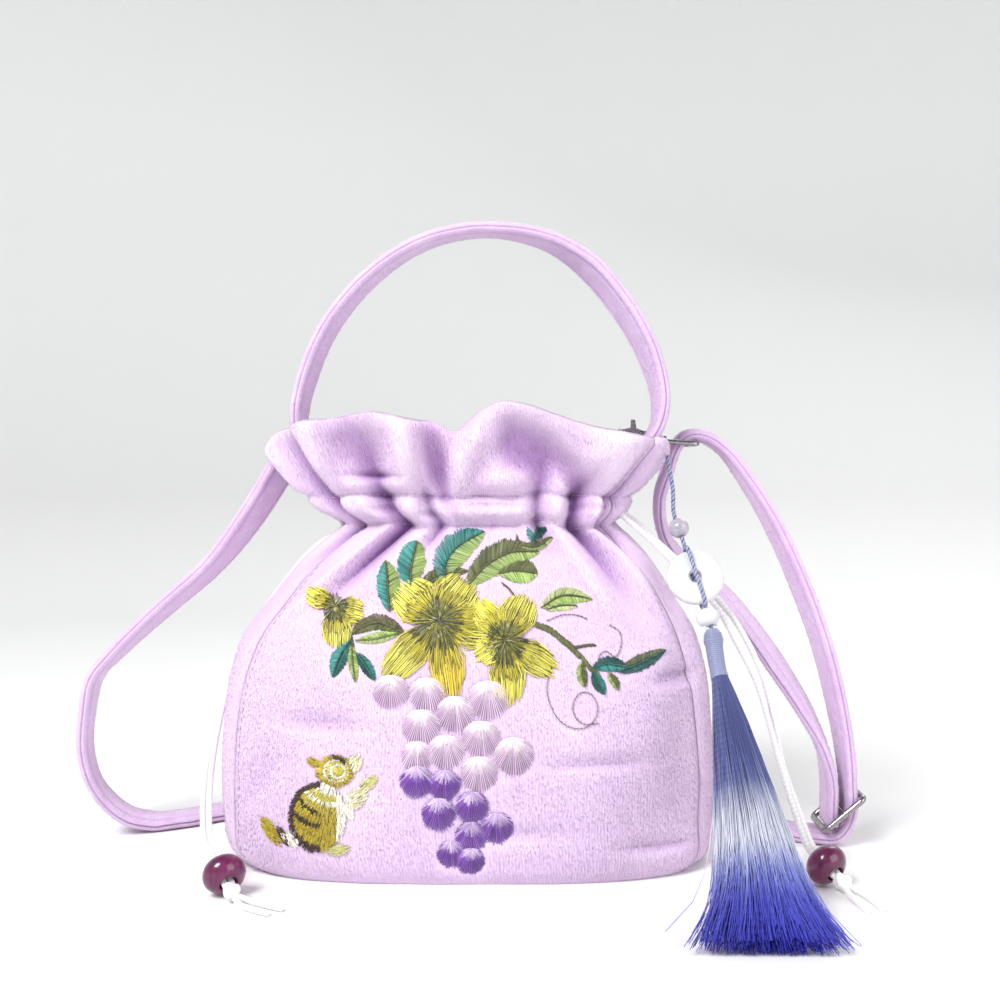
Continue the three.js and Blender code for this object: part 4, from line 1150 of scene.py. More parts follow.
# Name of the piece, its radius, hole and height, its place down the line, and its finish.
PENDANT_BEADS = {
    "pendant_bead": ("pendant_bead_glassy", (4.1, 0.95, 7.4), "bead", GLASSY_JADE),
    "pendant_neck_bead": ("pendant_neck_bead_milky", (4.6, 1.1, 7.2), "neck", JADE),
}
disc = turned("pendant_disc_jade", disc_profile, FACE, hang(PENDANT["disc"]), JADE, 72)
pendant_pieces = {"pendant_disc": disc}
for node, (name, measures, place, finish) in PENDANT_BEADS.items():
    pendant_pieces[node] = turned(name, bead_profile(*measures), DOWN, hang(PENDANT[place]), finish, 40)
for node, piece in pendant_pieces.items():
    dress(piece, "jade", node)
print("pendant pieces:", sorted(pendant_pieces))

# %% [markdown]
# The tassel is two thousand and more silk strands, dyed in bands: slate at the neck, white below
# the middle and deep blue at the tips. Each strand starts in the wound neck and spreads along the
# tassel's spine, so its place in the skirt is a fixed share of the skirt's width there.

# %% Tassel: strands
SPINE = np.array([(96, -39.2, 97.4), (97.2, -44.5, 84), (99, -53, 71.5), (102, -74, 42.5), (103, -97, 19),
                  (102.6, -120, 4)])
# Share of the way down, half width, half depth.
SKIRT = np.array([(0.12, 2.4, 2.4), (0.18, 3.6, 3.4), (0.25, 5.4, 4.8), (0.38, 8.2, 7.2), (0.62, 13, 9.6),
                  (0.84, 17, 9), (0.93, 20, 7), (1.0, 24.5, 5.4)])
DYE = [(0.0, "596090"), (0.3, "4e558b"), (0.5, "565f9c"), (0.57, "a5abce"), (0.63, "e4e6f0"),
       (0.71, "dfe3f2"), (0.79, "8a94da"), (0.87, "565bca"), (1.0, "3d3dbe")]
STRAND_COUNT = 2200
STRAND_SEED = 7
STRAND_RADIUS = 0.14

spine_points, spine_along, _ = smooth_path(SPINE, 40)
spine_run = run_along(spine_points)
spine_share = spine_run / spine_run[-1]
dye_shares = np.array([share for share, _ in DYE])
dye_colours = np.array([screen_colour(code)[:3] for _, code in DYE])


def spine_at(share):
    """Centre, width and depth directions of the tassel at shares of its length."""
    inside = np.clip(share, 0, 1)
    centre = at_places(inside, spine_share, spine_points)
    along = unit(at_places(inside, spine_share, spine_along))
    centre = centre + along * ((share - inside) * spine_run[-1])[:, None]
    wide = unit(np.array((1, 0, 0)) - along * along[:, :1])
    return centre, wide, np.cross(along, wide)


def tassel_strands(count, seed):
    """Guide rows of silk strands; a few stray from the skirt."""
    random = np.random.default_rng(seed)
    rows = []
    for _ in range(count):
        radius = math.sqrt(random.uniform(0.02, 1))
        angle = random.uniform(0, 2 * math.pi)
        stray = random.normal(0, 0.07) + (random.random() < 0.04) * random.normal(0, 0.4)
        share = np.linspace(0.12, random.uniform(0.95, 1.015), 10)
        centre, wide, deep = spine_at(share)
        crossing = random.normal(0, 0.5) * np.clip(share - 0.7, 0, 1) ** 1.2
        swing = stray * np.clip(share - 0.3, 0, 1) ** 1.4 + crossing
        half_wide, half_deep = at_places(share, SKIRT[:, 0], SKIRT[:, 1:]).T
        across = half_wide * (radius * math.cos(angle) + swing)
        over = half_deep * (radius * math.sin(angle) + random.normal(0, 0.03))
        wave = 0.5 * np.sin(share * random.uniform(8, 18) + random.uniform(0, 6)) * share
        points = centre + wide * (across + wave)[:, None] + deep * over[:, None]
        points[:, 2] = np.maximum(points[:, 2], 0.4 + 0.5 * random.random())
        dyed = np.clip(share + random.normal(0, 0.02), 0, 1)
        colour = at_places(dyed, dye_shares, dye_colours)
        rows.append((points, STRAND_RADIUS, colour * random.uniform(0.75, 1.15)))
    return rows


silk_rows = tassel_strands(STRAND_COUNT, STRAND_SEED)
tassel = dress(strands("tassel_silk", silk_rows, SILK_STRAND, 3), "silk", "tassel")
print("tassel:", triangles(tassel), "triangles")

# %% [markdown]
# The tassel's head is bound with one long thread, wound round and round from the top of the head
# down to where the skirt opens, over a small knob of silk.

# %% Tassel: wound head
HEAD_SHAPE = [(0.0, 1.8), (0.012, 3.0), (0.035, 3.5), (0.05, 3.0), (0.13, 2.8), (0.155, 3.1)]
HEAD_THREAD = 0.5
WINDINGS = 24
LOOP_REACH = 2.3
LOOP_FLATNESS = 0.7


def wound_head():
    """One spiral line over the head's outline."""
    share = np.linspace(0, HEAD_SHAPE[-1][0], WINDINGS * 20)
    centre, wide, deep = spine_at(share)
    radius = np.interp(share, *np.array(HEAD_SHAPE).T)
    angle = np.linspace(0, 2 * math.pi * WINDINGS, len(share))
    return centre + (wide * np.cos(angle)[:, None] + deep * np.sin(angle)[:, None]) * radius[:, None]


def head_loop():
    """The silver loop that the tassel hangs by."""
    angle = np.linspace(0, 2 * math.pi, 33)[:, None]
    middle, wide, _ = spine_at(np.zeros(1))
    rise = DOWN * (1 + np.sin(angle)) * LOOP_REACH * LOOP_FLATNESS
    return middle + wide * np.cos(angle) * LOOP_REACH - rise


head_rows = [(wound_head(), HEAD_THREAD, screen_colour("868dad")),
             (head_loop(), HEAD_THREAD, screen_colour("d5d8e2"))]
head = dress(strands("tassel_head_winding", head_rows, SILK_STRAND, 6), "silk")
print("wound head:", triangles(head), "triangles")

# %% [markdown]
# The needlework is a traditional picture: a squirrel under a vine with grapes and yellow flowers.
# It is planned on the photograph, so a chart point is a pixel, and a ray from the camera through
# that pixel finds the place on the cloth. A stitch is a short line on the chart that becomes a
# thread just above the pile, arched in the middle and sunk at both ends.

# %% Needlework: from chart to cloth
front_grid = outer_grids["front_panel"]
front_points = [Vector(p) for p in front_grid.reshape(-1, 3)]
FRONT_CLOTH = BVHTree.FromPolygons(front_points, grid_faces(*front_grid.shape[:2], False))
LOOK = camera.rotation_euler.to_matrix()
HIGHEST_STITCH = CASING_BOTTOM - 0.8
THREAD_RADIUS = 0.25
dice = np.random.default_rng(21)


def on_cloth(px, py):
    """Cloth point and outward direction seen at a photograph pixel, or None past the cloth."""
    half = PHOTO_SIDE / 2
    sight = LOOK @ Vector(((px - half) / FOCAL_PIXELS, (half - py) / FOCAL_PIXELS, -1))
    place, outward, _, _ = FRONT_CLOTH.ray_cast(Vector(EYE), sight.normalized())
    if place is None or place.z > HIGHEST_STITCH:
        return None
    return np.array(place), np.array(outward if outward.y < 0 else -outward)


def thread(start, end, start_colour, end_colour, lift=0.0, radius=THREAD_RADIUS, rise=0.45):
    """A guide row for one stitch between two chart points, in the linear colours of its ends."""
    start, end = np.asarray(start, float), np.asarray(end, float)
    share = np.linspace(0, 1, max(4, int(np.hypot(*(end - start)) / 5) + 2))
    hits = [on_cloth(*point) for point in start + (end - start) * share[:, None]]
    if None in hits:
        return []
    places, outward = (np.array(column) for column in zip(*hits))
    arch = 0.2 + lift + rise * np.sin(math.pi * share) ** 0.6
    share = share[:, None]
    colours = np.asarray(start_colour)[:3] * (1 - share) + np.asarray(end_colour)[:3] * share
    return [(places + outward * arch[:, None], radius, colours * dice.uniform(0.8, 1.14))]


print("chart middle lies at", on_cloth(450, 700)[0].round(1).tolist())

# %% [markdown]
# A few kinds of filling make most of the picture. A petal is filled in zones from its root to its
# tip. A leaf has a middle vein with slanted stitches to both edges. A band is crossed by short
# stitches along its length, for bark and dark fur. A stem is a thin rope of slanted stitches, and
# a line is a run of small back stitches. All but the petal follow a smooth line on the chart.

# %% Needlework: fillings
PETAL_STEP = 1.3
PETAL_LIFT = 0.3
LEAF_STEP = 1.25
RAGGED = 0.25
BACK_STITCH, BACK_GAP = 3.4, 0.9


def shade(codes):
    """One of some screen colours, by chance."""
    return screen_colour(codes[dice.integers(len(codes))])


def pair(codes, end_codes=None):
    """Colours for the two ends of a stitch, by chance."""
    return shade(codes), shade(end_codes or codes)


def chart_line(spine):
    """A smooth line on the chart: its point, heading and normal as a function, and its length."""
    line, along, _ = smooth_path([(x, y, 0) for x, y in spine], 24)
    run = np.concatenate([[0], np.cumsum(np.hypot(*np.diff(line[:, :2], axis=0).T))])

    def at(place):
        heading = at_places(place, run, along[:, :2])
        return at_places(place, run, line[:, :2]), heading, np.array((-heading[1], heading[0]))

    return at, run[-1]


def petal(root, tip, half, under, inner, middle, outer):
    """A blunt petal: a dark layer of painted shade, then three zones of short stitches from root to tip."""
    root, tip = np.array(root, float), np.array(tip, float)
    length = np.hypot(*(tip - root))
    ahead = (tip - root) / length
    beside = np.array((-ahead[1], ahead[0]))

    def spot(u, t):
        width = half * min(1, t / 0.55) ** 0.8 * (1 - 0.22 * max(0, (t - 0.6) / 0.4) ** 2)
        return root + ahead * (length * t * (1 - 0.16 * abs(u) ** 2.5)) + beside * (width * u)

    rows = []
    for u in np.linspace(-1, 1, int(2.4 * half / PETAL_STEP)):
        u += dice.normal(0, 0.02)
        low, mid, far, high = dice.uniform((0.05, 0.26, 0.46, 0.88), (0.2, 0.42, 0.68, 1.07))
        # The first thread is the dark layer, painted shade that shows between the stitches.
        rows += thread(spot(u, 0.3), spot(u, dice.uniform(0.84, 0.98)), *pair(under), PETAL_LIFT - 0.12)
        rows += thread(spot(u, far), spot(u, high), *pair(outer), PETAL_LIFT + 0.02, 0.22)
        rows += thread(spot(u, mid), spot(u, far + dice.uniform(0.02, 0.14)),
                       *pair(middle, middle + outer), PETAL_LIFT + 0.12, 0.22)
        rows += thread(spot(u, low), spot(u, mid + dice.uniform(0, 0.12)), shade(inner),
                       shade(inner if dice.random() < 0.6 else middle), PETAL_LIFT + 0.25)
    return rows


def leaf(spine, half_left, half_right, left, right, vein):
    """A leaf on a curved vein; left and right are as seen on the way from base to tip."""
    at, length = chart_line(spine)
    rows = []
    for side, half, codes in ((-1, half_left, left), (1, half_right, right)):
        for place in np.arange(0, length, LEAF_STEP):
            width = half * math.sin(math.pi * (place / length) ** 0.75) ** 0.7 * dice.uniform(0.9, 1.1)
            goal, _, normal = at(min(place + 0.55 * width, length))
            rows += thread(at(place)[0], goal + normal * side * width,
                           *pair(vein if dice.random() < 0.2 else codes, codes))
    return rows + stem(spine, 1.1, vein, 3.2, 0.35)


def band_fill(spine, half, codes, slant, step, lift=0.0):
    """Short stitches across a curved band."""
    at, length = chart_line(spine)
    rows = []
    for place in np.arange(0, length, step):
        middle, heading, normal = at(place)
        across = normal + heading * slant
        across *= half / np.hypot(*across)
        low, high = dice.uniform(1 - RAGGED, 1 + RAGGED, 2)
        rows += thread(middle - across * low, middle + across * high, *pair(codes), lift)
    return rows


def stem(spine, half, codes, stitch=4.0, lift=0.1):
    """Slanted stitches that overlap along a line, like a thin rope."""
    at, length = chart_line(spine)
    rows = []
    for place in np.arange(0, max(length - stitch * 0.5, 0.1), stitch * 0.45):
        ends = []
        for where, side in ((place, -0.5), (min(place + stitch, length), 0.5)):
            point, _, normal = at(where)
            ends.append(point + normal * side * half)
        rows += thread(*ends, *pair(codes), lift)
    return rows


def back_stitches(spine, codes):
    """A single line of small stitches with gaps."""
    at, length = chart_line(spine)
    rows = []
    for place in np.arange(0, length - BACK_STITCH, BACK_STITCH + BACK_GAP):
        rows += thread(at(place)[0], at(place + BACK_STITCH)[0], *pair(codes), 0.1)
    return rows


def needlework(name, rows):
    """A finished piece of embroidery."""
    piece = dress(strands(name, rows, NEEDLE_THREAD, 3), "silk")
    print(name, len(rows), "stitches,", triangles(piece), "triangles")


print("one short stem takes", len(stem([(438, 622), (420, 600), (405, 590)], 1, ["6f7338"])), "stitches")

# %% [markdown]
# The leaves come first because the flowers lie over them. Each leaf is given by its vein, the
# width of its two halves and the colours of each half: most are teal on one side and light green
# on the other.

# %% Needlework: leaves and vine
TEAL = ["2f8580", "3f9a93", "277270", "57aaa2"]
DARK_TEAL = ["1f5a55", "2b6f66", "1a4a48"]
GREEN = ["9bb75e", "aec673", "88a552", "c3d58f"]
OLIVE = ["5d6638", "6f7844", "4b5330", "808a55"]
BROWN = ["4c4a2c", "5d5836", "6d6a45"]
LEAVES = [
    ([(390, 612), (388, 588), (386.5, 561)], 11, 12, TEAL, GREEN, BROWN),
    ([(411, 589), (411, 566), (417, 541)], 14, 14, TEAL, GREEN, BROWN),
    ([(446, 586), (446, 563), (459, 546), (484, 532)], 15, 15, TEAL, GREEN, DARK_TEAL),
    ([(418, 589), (438, 576), (468, 571)], 8, 6, OLIVE, OLIVE, BROWN),
    ([(468, 586), (486, 566), (510, 553), (538, 552)], 15, 15, OLIVE, GREEN, BROWN),
    ([(498, 574), (515, 571), (537, 574)], 13, 12, OLIVE, GREEN, BROWN),
    ([(519, 545), (536, 547), (553, 537)], 5, 5, OLIVE, GREEN, BROWN),
    ([(531, 543), (535, 532), (541, 519)], 10, 10, TEAL, DARK_TEAL, DARK_TEAL),
    ([(541, 608), (562, 596), (592, 599)], 8, 8, ["d3dda0", "c3d58f"], GREEN, BROWN),
    ([(546, 610), (560, 606), (577, 606)], 4, 5, GREEN, ["d3dda0", "c3d58f"], BROWN),
    ([(592, 668), (608, 664), (627, 668)], 8, 8, DARK_TEAL, TEAL, DARK_TEAL),
    ([(618, 672), (640, 663), (665, 650)], 8, 8, OLIVE, DARK_TEAL, DARK_TEAL),
    ([(582, 662), (581, 674), (585, 687)], 6, 5, OLIVE, GREEN, OLIVE),
    ([(593, 670), (597, 681), (605, 694)], 6, 6, TEAL, DARK_TEAL, DARK_TEAL),
    ([(608, 673), (613, 680), (618, 690)], 5, 4, OLIVE, GREEN, OLIVE),
    ([(405, 634), (378, 623), (350, 634)], 7, 9, OLIVE, BROWN, BROWN),
    ([(398, 634), (376, 639), (356, 641)], 5, 6, ["d3dda0", "c3d58f"], GREEN, OLIVE),
    ([(351, 640), (341, 655), (333, 677)], 8, 8, DARK_TEAL, TEAL, DARK_TEAL),
    ([(352, 645), (353, 662), (356, 682)], 5, 5, GREEN, GREEN, OLIVE),
    ([(357, 653), (365, 664), (375, 680)], 6, 6, TEAL, DARK_TEAL, DARK_TEAL),
]
# Line, half width and colours of the vine's bark.
VINES = [
    ([(533, 624), (549, 630), (566, 643), (578, 654)], 4.6, BROWN + OLIVE),
    ([(572, 648), (583, 659), (590, 668), (599, 674)], 3.2, BROWN + OLIVE),
    ([(573, 648), (584, 646), (595, 645)], 2.2, BROWN),
]
LEAF_STEMS = [
    [(501, 583), (508, 588), (515, 597)], [(516, 535), (519, 542), (524, 548)],
    [(346, 622), (351, 634), (354, 648)],
]
leaf_rows = []
for one_leaf in LEAVES:
    leaf_rows += leaf(*one_leaf)
for spine, half, codes in VINES:
    leaf_rows += band_fill(spine, half, codes, 1.4, 0.8)
for spine in LEAF_STEMS:
    leaf_rows += stem(spine, 1.5, BROWN)
needlework("embroidered_leaves", leaf_rows)

# %% [markdown]
# A tendril is one thread wide. It curls below the vine and ends in a loop.

# %% Needlework: tendrils
TENDRILS = [
    [(549, 673), (547, 691), (551, 707), (560, 721), (573, 728), (587, 727), (596, 716), (597, 704),
     (589, 693), (580, 693), (573, 704), (575, 717), (584, 724), (600, 723)],
    [(547, 621), (563, 615), (579, 616), (588, 620)],
    [(609, 625), (619, 632), (621, 645), (615, 657), (605, 651), (599, 656), (599, 662)],
]
tendril_rows = [row for spine in TENDRILS for row in back_stitches(spine, ["7d7068", "8d8078", "6b6058"])]
needlework("embroidered_tendrils", tendril_rows)

# %% [markdown]
# Grapes are small shells: the stitches open from a point at the top to the rim, and a pale ragged
# crown covers the upper half. The upper grapes are pale pink and the lower ones violet. Short dark
# threads laid low between the stitches stand for the shade in the gaps, a painted shade.

# %% Needlework: grapes
# Middle and radius on the chart.
PALE_GRAPES = [(391, 692, 16.5), (427, 694, 16.5), (488, 700, 19), (455, 714, 17.5), (421, 727, 17.5),
               (481, 739, 18), (417, 756, 15), (446, 752, 17), (514, 756, 18.5), (479, 774, 17.5)]
VIOLET_GRAPES = [(417, 782, 16), (445, 785, 15), (439, 814, 16), (472, 807, 15.5), (497, 828, 15.5),
                 (471, 837, 15), (451, 854, 13), (471, 861, 13)]


# The bunch, how far it stands out, and the colours of its gap threads (painted shade between
# the stitches), crowns and rims.
BUNCHES = [
    (VIOLET_GRAPES, 0.0, ["502a78", "5c358a"], ["e0cfe8", "cfb6dc", "b292cd"],
     ["8d57bd", "7c46ad", "9a69c6"]),
    (PALE_GRAPES, 0.12, ["9c70a4", "ae84b4"], ["f0e3ee", "e8d3e6", "f5edf4"],
     ["e9d2e6", "e0c3df", "f0deed"]),
]
GRAPE_SPACING = 2.7
GRAPE_SWELL = 1.1
GRAPE_OVERLAP = 0.05


def grape(x, y, radius, under, crown, rim, lift):
    """A shell of stitches opening from a point near the top, painted shade in its gaps and a pale crown."""
    radius *= GRAPE_SWELL
    root = np.array((x, y - 0.92 * radius))
    count = int(2 * math.pi * radius / GRAPE_SPACING)
    rows = []
    for step in range(2 * count):
        angle = math.pi * step / count
        edge = np.array((x + radius * math.cos(angle), y + radius * 0.96 * math.sin(angle))) - root
        if np.hypot(*edge) < 0.4 * radius:
            continue
        # Every other spoke is a short dark thread low in the gap: painted shade between the stitches.
        if step % 2:
            end = root + edge * dice.uniform(0.9, 1.0)
            rows += thread(root + edge * 0.5, end, *pair(under), lift, 0.17, 0.2)
            continue
        end = root + edge * dice.uniform(0.94, 1.05)
        rows += thread(root + edge * 0.3, end, *pair(rim), lift + 0.08, 0.21, 0.25)
        down = (0.92 + dice.uniform(-0.45, 0.1)) * radius / max(edge[1], 0.1)
        end = root + edge * min(max(down, 0.25), 0.98)
        rows += thread(root, end, *pair(crown), lift + 0.16, 0.2, 0.22)
    return rows


grape_rows = []
for bunch, stand_out, under, crown, rim in BUNCHES:
    for place, (x, y, radius) in enumerate(bunch[::-1]):
        grape_rows += grape(x, y, radius, under, crown, rim, GRAPE_OVERLAP * place + stand_out)
needlework("embroidered_grapes", grape_rows)

# %% [markdown]
# The flowers have five petals each, laid so that the next one overlaps the last. The stitches go
# from dark olive at the heart to clear yellow at the edge, and short dark stitches with a few pale
# ones fill the heart. Under each petal a dark layer of thread shows in the gaps, a painted shade.

# %% Needlework: flowers
HEART = ["454a26", "5a5d30", "363a20"]
GOLD = ["b9ad33", "a59b31", "cabb3a"]
YELLOW = ["e4de5a", "f0ea80", "d6cd44"]
ORANGE = ["e6c840", "ecd65a", "d8b934"]
PETAL_GAP_SHADE = ["7d7424", "6b6420", "8d8026"]
# Heart of the flower, then tip and half width of its petals.
FLOWERS = [
    ((438, 620), [((387, 677), 19), ((400, 588), 25), ((468, 580), 26), ((496, 630), 25)], YELLOW),
    ((440, 622), [((451, 696), 19)], ORANGE),
    ((505, 640), [((476, 602), 15), ((476, 658), 15), ((526, 597), 20), ((555, 672), 17), ((509, 703), 19)],
     YELLOW),
    ((337, 607), [((306, 592), 11), ((363, 614), 15), ((337, 647), 16)], YELLOW),
]
# Middle, radius and number of stitches.
FLOWER_HEARTS = [(440, 622, 21, 260), (504, 640, 17, 190), (336, 607, 9, 60)]


def flower_heart(x, y, radius, count):
    """Short stitches round the heart, dark with a few pale ones."""
    rows = []
    for _ in range(count):
        angle, reach = dice.uniform(0, 2 * math.pi), radius * math.sqrt(dice.uniform(0.02, 1))
        ray = np.array((math.cos(angle), math.sin(angle)))
        pale = dice.random() < 0.1
        codes = ["c9c69a", "aaa878"] if pale else HEART
        start = np.array((x, y)) + ray * (reach - 3)
        end = start + ray * dice.uniform(5, 9)
        rows += thread(start, end, *pair(codes, codes if pale else HEART + GOLD), 0.5)
    return rows


flower_rows = []
for heart, petals, tint in FLOWERS:
    for tip, half in petals:
        flower_rows += petal(heart, tip, half, PETAL_GAP_SHADE, HEART, GOLD, tint)
for heart in FLOWER_HEARTS:
    flower_rows += flower_heart(*heart)
needlework("embroidered_flowers", flower_rows)

# %% [markdown]
# The squirrel is fur in bands: gold and brown stripes over the back, a white belly, a head of
# rings one inside the other, and a tail that goes from white and brown to gold.

# %% Needlework: squirrel
FUR = ["c6b02b", "ad9924", "d3c040", "928226"]
BRIGHT_FUR = ["c6bc42", "d8d06e", "b2a83c"]
BARK = ["3f2c20", "4e3828", "2f2018"]
WHITE_FUR = ["f1ecdf", "e4dfd0", "faf7ee"]
PALE_FUR = ["d6d38a", "c4c26a", "e6e3b4"]
# Middle, half length, half width, tilt and comb in degrees, colours and number of stitches.
FUR_PATCHES = [
    (272, 831, 16, 5.5, 58, 40, FUR, 150), (284, 836, 10, 3.5, 60, 50, BARK, 60),
    (291, 839, 10, 5, 35, 60, WHITE_FUR, 70), (338, 850, 10, 5, -8, -20, PALE_FUR, 90),
    (357, 798, 12, 8, -55, -35, PALE_FUR + WHITE_FUR, 150),
    (368, 783, 9, 5.5, -35, -40, PALE_FUR, 80), (356, 763, 8, 6.5, 80, -60, PALE_FUR + WHITE_FUR, 80),
    (313, 762, 5.5, 4, 10, 30, FUR, 45), (349, 806, 14, 4, 80, 70, WHITE_FUR, 80),
]
HEAD = np.array((335, 771))
BODY = {"x": 318, "y": 816, "half_width": 28, "half_height": 34}
# Reach from the head's middle where the stripes of the back end, and their colours.
STRIPES = [(25, WHITE_FUR), (32, BRIGHT_FUR), (36, WHITE_FUR), (43, BRIGHT_FUR + FUR), (47, BARK),
           (56, FUR), (60, BARK), (99, FUR)]
# Outer radius, inner radius, and colours of the rings of the head.
HEAD_RINGS = [(18.5, 12, FUR), (13.5, 11, WHITE_FUR), (11.5, 8, BRIGHT_FUR), (8.8, 6, WHITE_FUR),
              (6.5, 0.5, BRIGHT_FUR)]
HEAD_SQUASH = 0.88
BELLY_FROM = 0.68
BARK_UNTIL = 320
BODY_TRIES = 1900


def body_fur(count):
    """Short stitches that point away from the head, coloured by stripe, back edge and belly."""
    rows = []
    for _ in range(count):
        u, v = dice.uniform(-1, 1, 2)
        far = math.hypot(u, v)
        if far > 1:
            continue
        place = np.array((BODY["x"] + u * BODY["half_width"], BODY["y"] + v * BODY["half_height"]))
        away = place - HEAD
        reach = np.hypot(*away)
        codes = next(colours for end, colours in STRIPES if reach < end)
        if codes is BARK and place[0] > BARK_UNTIL:
            codes = FUR
        if u > BELLY_FROM:
            codes = WHITE_FUR
        elif far > 0.84 and u < 0.1:
            codes = BARK
        along = away / reach * dice.uniform(2.2, 3.8) + dice.normal(0, 0.5, 2)
        rows += thread(place - along, place + along, *pair(codes), 0.1 + 0.25 * dice.random(), 0.2)
    return rows


def fur_patch(x, y, half_long, half_wide, tilt, comb, codes, count):
    """Short stitches scattered in a tilted oval, combed one way."""
    tilt, comb = math.radians(tilt), math.radians(comb)
    ahead = np.array((math.cos(tilt), math.sin(tilt)))
    beside = np.array((-math.sin(tilt), math.cos(tilt)))
    rows = []
    for _ in range(count):
        angle, far = dice.uniform(0, 2 * math.pi), math.sqrt(dice.random())
        place = (x, y) + far * (math.cos(angle) * half_long * ahead + math.sin(angle) * half_wide * beside)
        along = np.array((math.cos(comb), math.sin(comb))) * dice.uniform(2, 3.4) + dice.normal(0, 0.4, 2)
        rows += thread(place - along, place + along, *pair(codes), 0.1 + 0.2 * dice.random(), 0.2)
    return rows


squirrel_rows = body_fur(BODY_TRIES)
for patch in FUR_PATCHES:
    squirrel_rows += fur_patch(*patch)
for outer, inner, codes in HEAD_RINGS:
    for angle in np.linspace(0, 2 * math.pi, int(outer * 5), endpoint=False):
        ray = np.array((math.cos(angle), math.sin(angle) * HEAD_SQUASH))
        near, far = dice.uniform(0.85, 1.1), dice.uniform(0.88, 1.12)
        middle = HEAD + np.array((0.36, 0)) * (HEAD_RINGS[0][0] - outer)
        start, end = middle + ray * inner * near, middle + ray * outer * far
        squirrel_rows += thread(start, end, *pair(codes), 0.3, 0.22)
squirrel_rows += band_fill([(334, 757), (340, 758), (346, 763)], 2.6, BARK, 0.5, 0.9, 0.55)
needlework("embroidered_squirrel", squirrel_rows)

# %% [markdown]
# Under the needlework the pile is pressed flat, so the fibres that come next must not grow there.
# A tree of all the stitch points tells which points of the cloth lie under thread.

# %% Needlework: where the pile is pressed
all_rows = leaf_rows + tendril_rows + grape_rows + flower_rows + squirrel_rows
stitch_points = np.vstack([row[0] for row in all_rows])
stitch_tree = KDTree(len(stitch_points))
for index, point in enumerate(stitch_points):
    stitch_tree.insert(point, index)
stitch_tree.balance()
PRESSED_WITHIN = 1.6
front_pile = cloth["front_panel"].data.attributes["pile"].data
pressed = 0
for index, point in enumerate(front_points):
    if stitch_tree.find(point)[2] < PRESSED_WITHIN:
        front_pile[index].value = 0.0
        pressed += 1
print("cloth points under thread:", pressed, "of", len(front_points))

# %% [markdown]
# The pile itself is grown by Geometry Nodes. Points are scattered on the outside of the cloth,
# and each one gets a tiny three-sided spike that leans down and a little to chance, the way a
# short pile lies after a hand has stroked it.

# %% Pile
RUFFLE = 0.4
FIBRE_SIZES = (0.65, 1.25)


def pile_tree():
    tree, inputs = start_tree("plush_pile", {"Density": "Float", "Length": "Float", "Width": "Float",
                                             "Brushed": "Vector", "Seed": "Int", "Finish": "Material"})
    pile = add_node(tree, "GeometryNodeInputNamedAttribute", {"Name": "pile"}, data_type="FLOAT")
    density = maths(tree, "MULTIPLY", pile.outputs["Attribute"], inputs["Density"])
    points = add_node(tree, "GeometryNodeDistributePointsOnFaces", {
        "Mesh": inputs["Geometry"], "Density": density, "Seed": inputs["Seed"]})
    ruffle = add_node(tree, "FunctionNodeRandomValue", {"Min": (-RUFFLE,) * 3, "Max": (RUFFLE,) * 3},
                      data_type="FLOAT_VECTOR").outputs["Value"]
    aim = points.outputs["Normal"]
    for push in (inputs["Brushed"], ruffle):
        aim = add_node(tree, "ShaderNodeVectorMath", {0: aim, 1: push}, operation="ADD").outputs[0]
    turn = add_node(tree, "FunctionNodeAlignRotationToVector", {"Vector": aim}, axis="Z")
    size = add_node(tree, "FunctionNodeRandomValue", dict(zip((2, 3), FIBRE_SIZES)), data_type="FLOAT")
    spike = add_node(tree, "GeometryNodeMeshCone", {"Vertices": 3, "Radius Bottom": inputs["Width"],
                     "Depth": inputs["Length"]}, fill_type="NONE")
    grown_pile = add_node(tree, "GeometryNodeInstanceOnPoints", {
        "Points": points.outputs["Points"], "Instance": spike.outputs["Mesh"],
        "Rotation": turn.outputs["Rotation"], "Scale": size.outputs[1]})
    return end_tree(tree, grown_pile.outputs["Instances"], inputs["Finish"])


PILE = pile_tree()
# Length in mm, and how far the fibres lean down for one part that they stand out.
PILE_KINDS = {"pouch": (0.95, -2.2), "band": (0.75, -0.9)}
PILE_WIDTH = 0.12
PILE_PER_MM2 = {"front_panel": 1.45, "back_panel": 0.6, "left_gusset": 0.6, "right_gusset": 0.8,
                "top_handle": 1.0, "shoulder_strap": 0.55}
for seed, (name, piece) in enumerate({**cloth, **bands}.items()):
    kind = "pouch" if name in cloth else "band"
    length, lean = PILE_KINDS[kind]
    fibres = dress(grown(f"{name}_pile", piece, PILE, {
        "Density": PILE_PER_MM2[name] / MM ** 2, "Length": length * MM, "Width": PILE_WIDTH * MM,
        "Brushed": (0, 0, lean), "Seed": seed, "Finish": TIPS[kind]}, keep_source=True), "plush")
    print(fibres.name, triangles(fibres), "triangles")

# %% [markdown]
# The slider and the clasp's eye are bent from round bar, so they are lines again: corners that are
# rounded off, swept by the strand tree. The eye's ends stop in a small hub, which turns on the
# post of the hook.

# %% Metal: bent bar
WIRE_RADIUS = 1.1
SLIDER_BAR = 1.35
BEND = 2.4
SLIDER = {"middle": np.array((158.1, 8, 15.2)), "tilt": 40, "pitch": 10.5, "half": 11.1}
CLASP_EYE = {"near": (82.2, 172.2), "far": (97.4, 171), "half": 11.1, "hub": 2.4}
# Radius, hole and length.
EYE_HUB = (3, 1.8, 3)
BARE = (1, 1, 1)


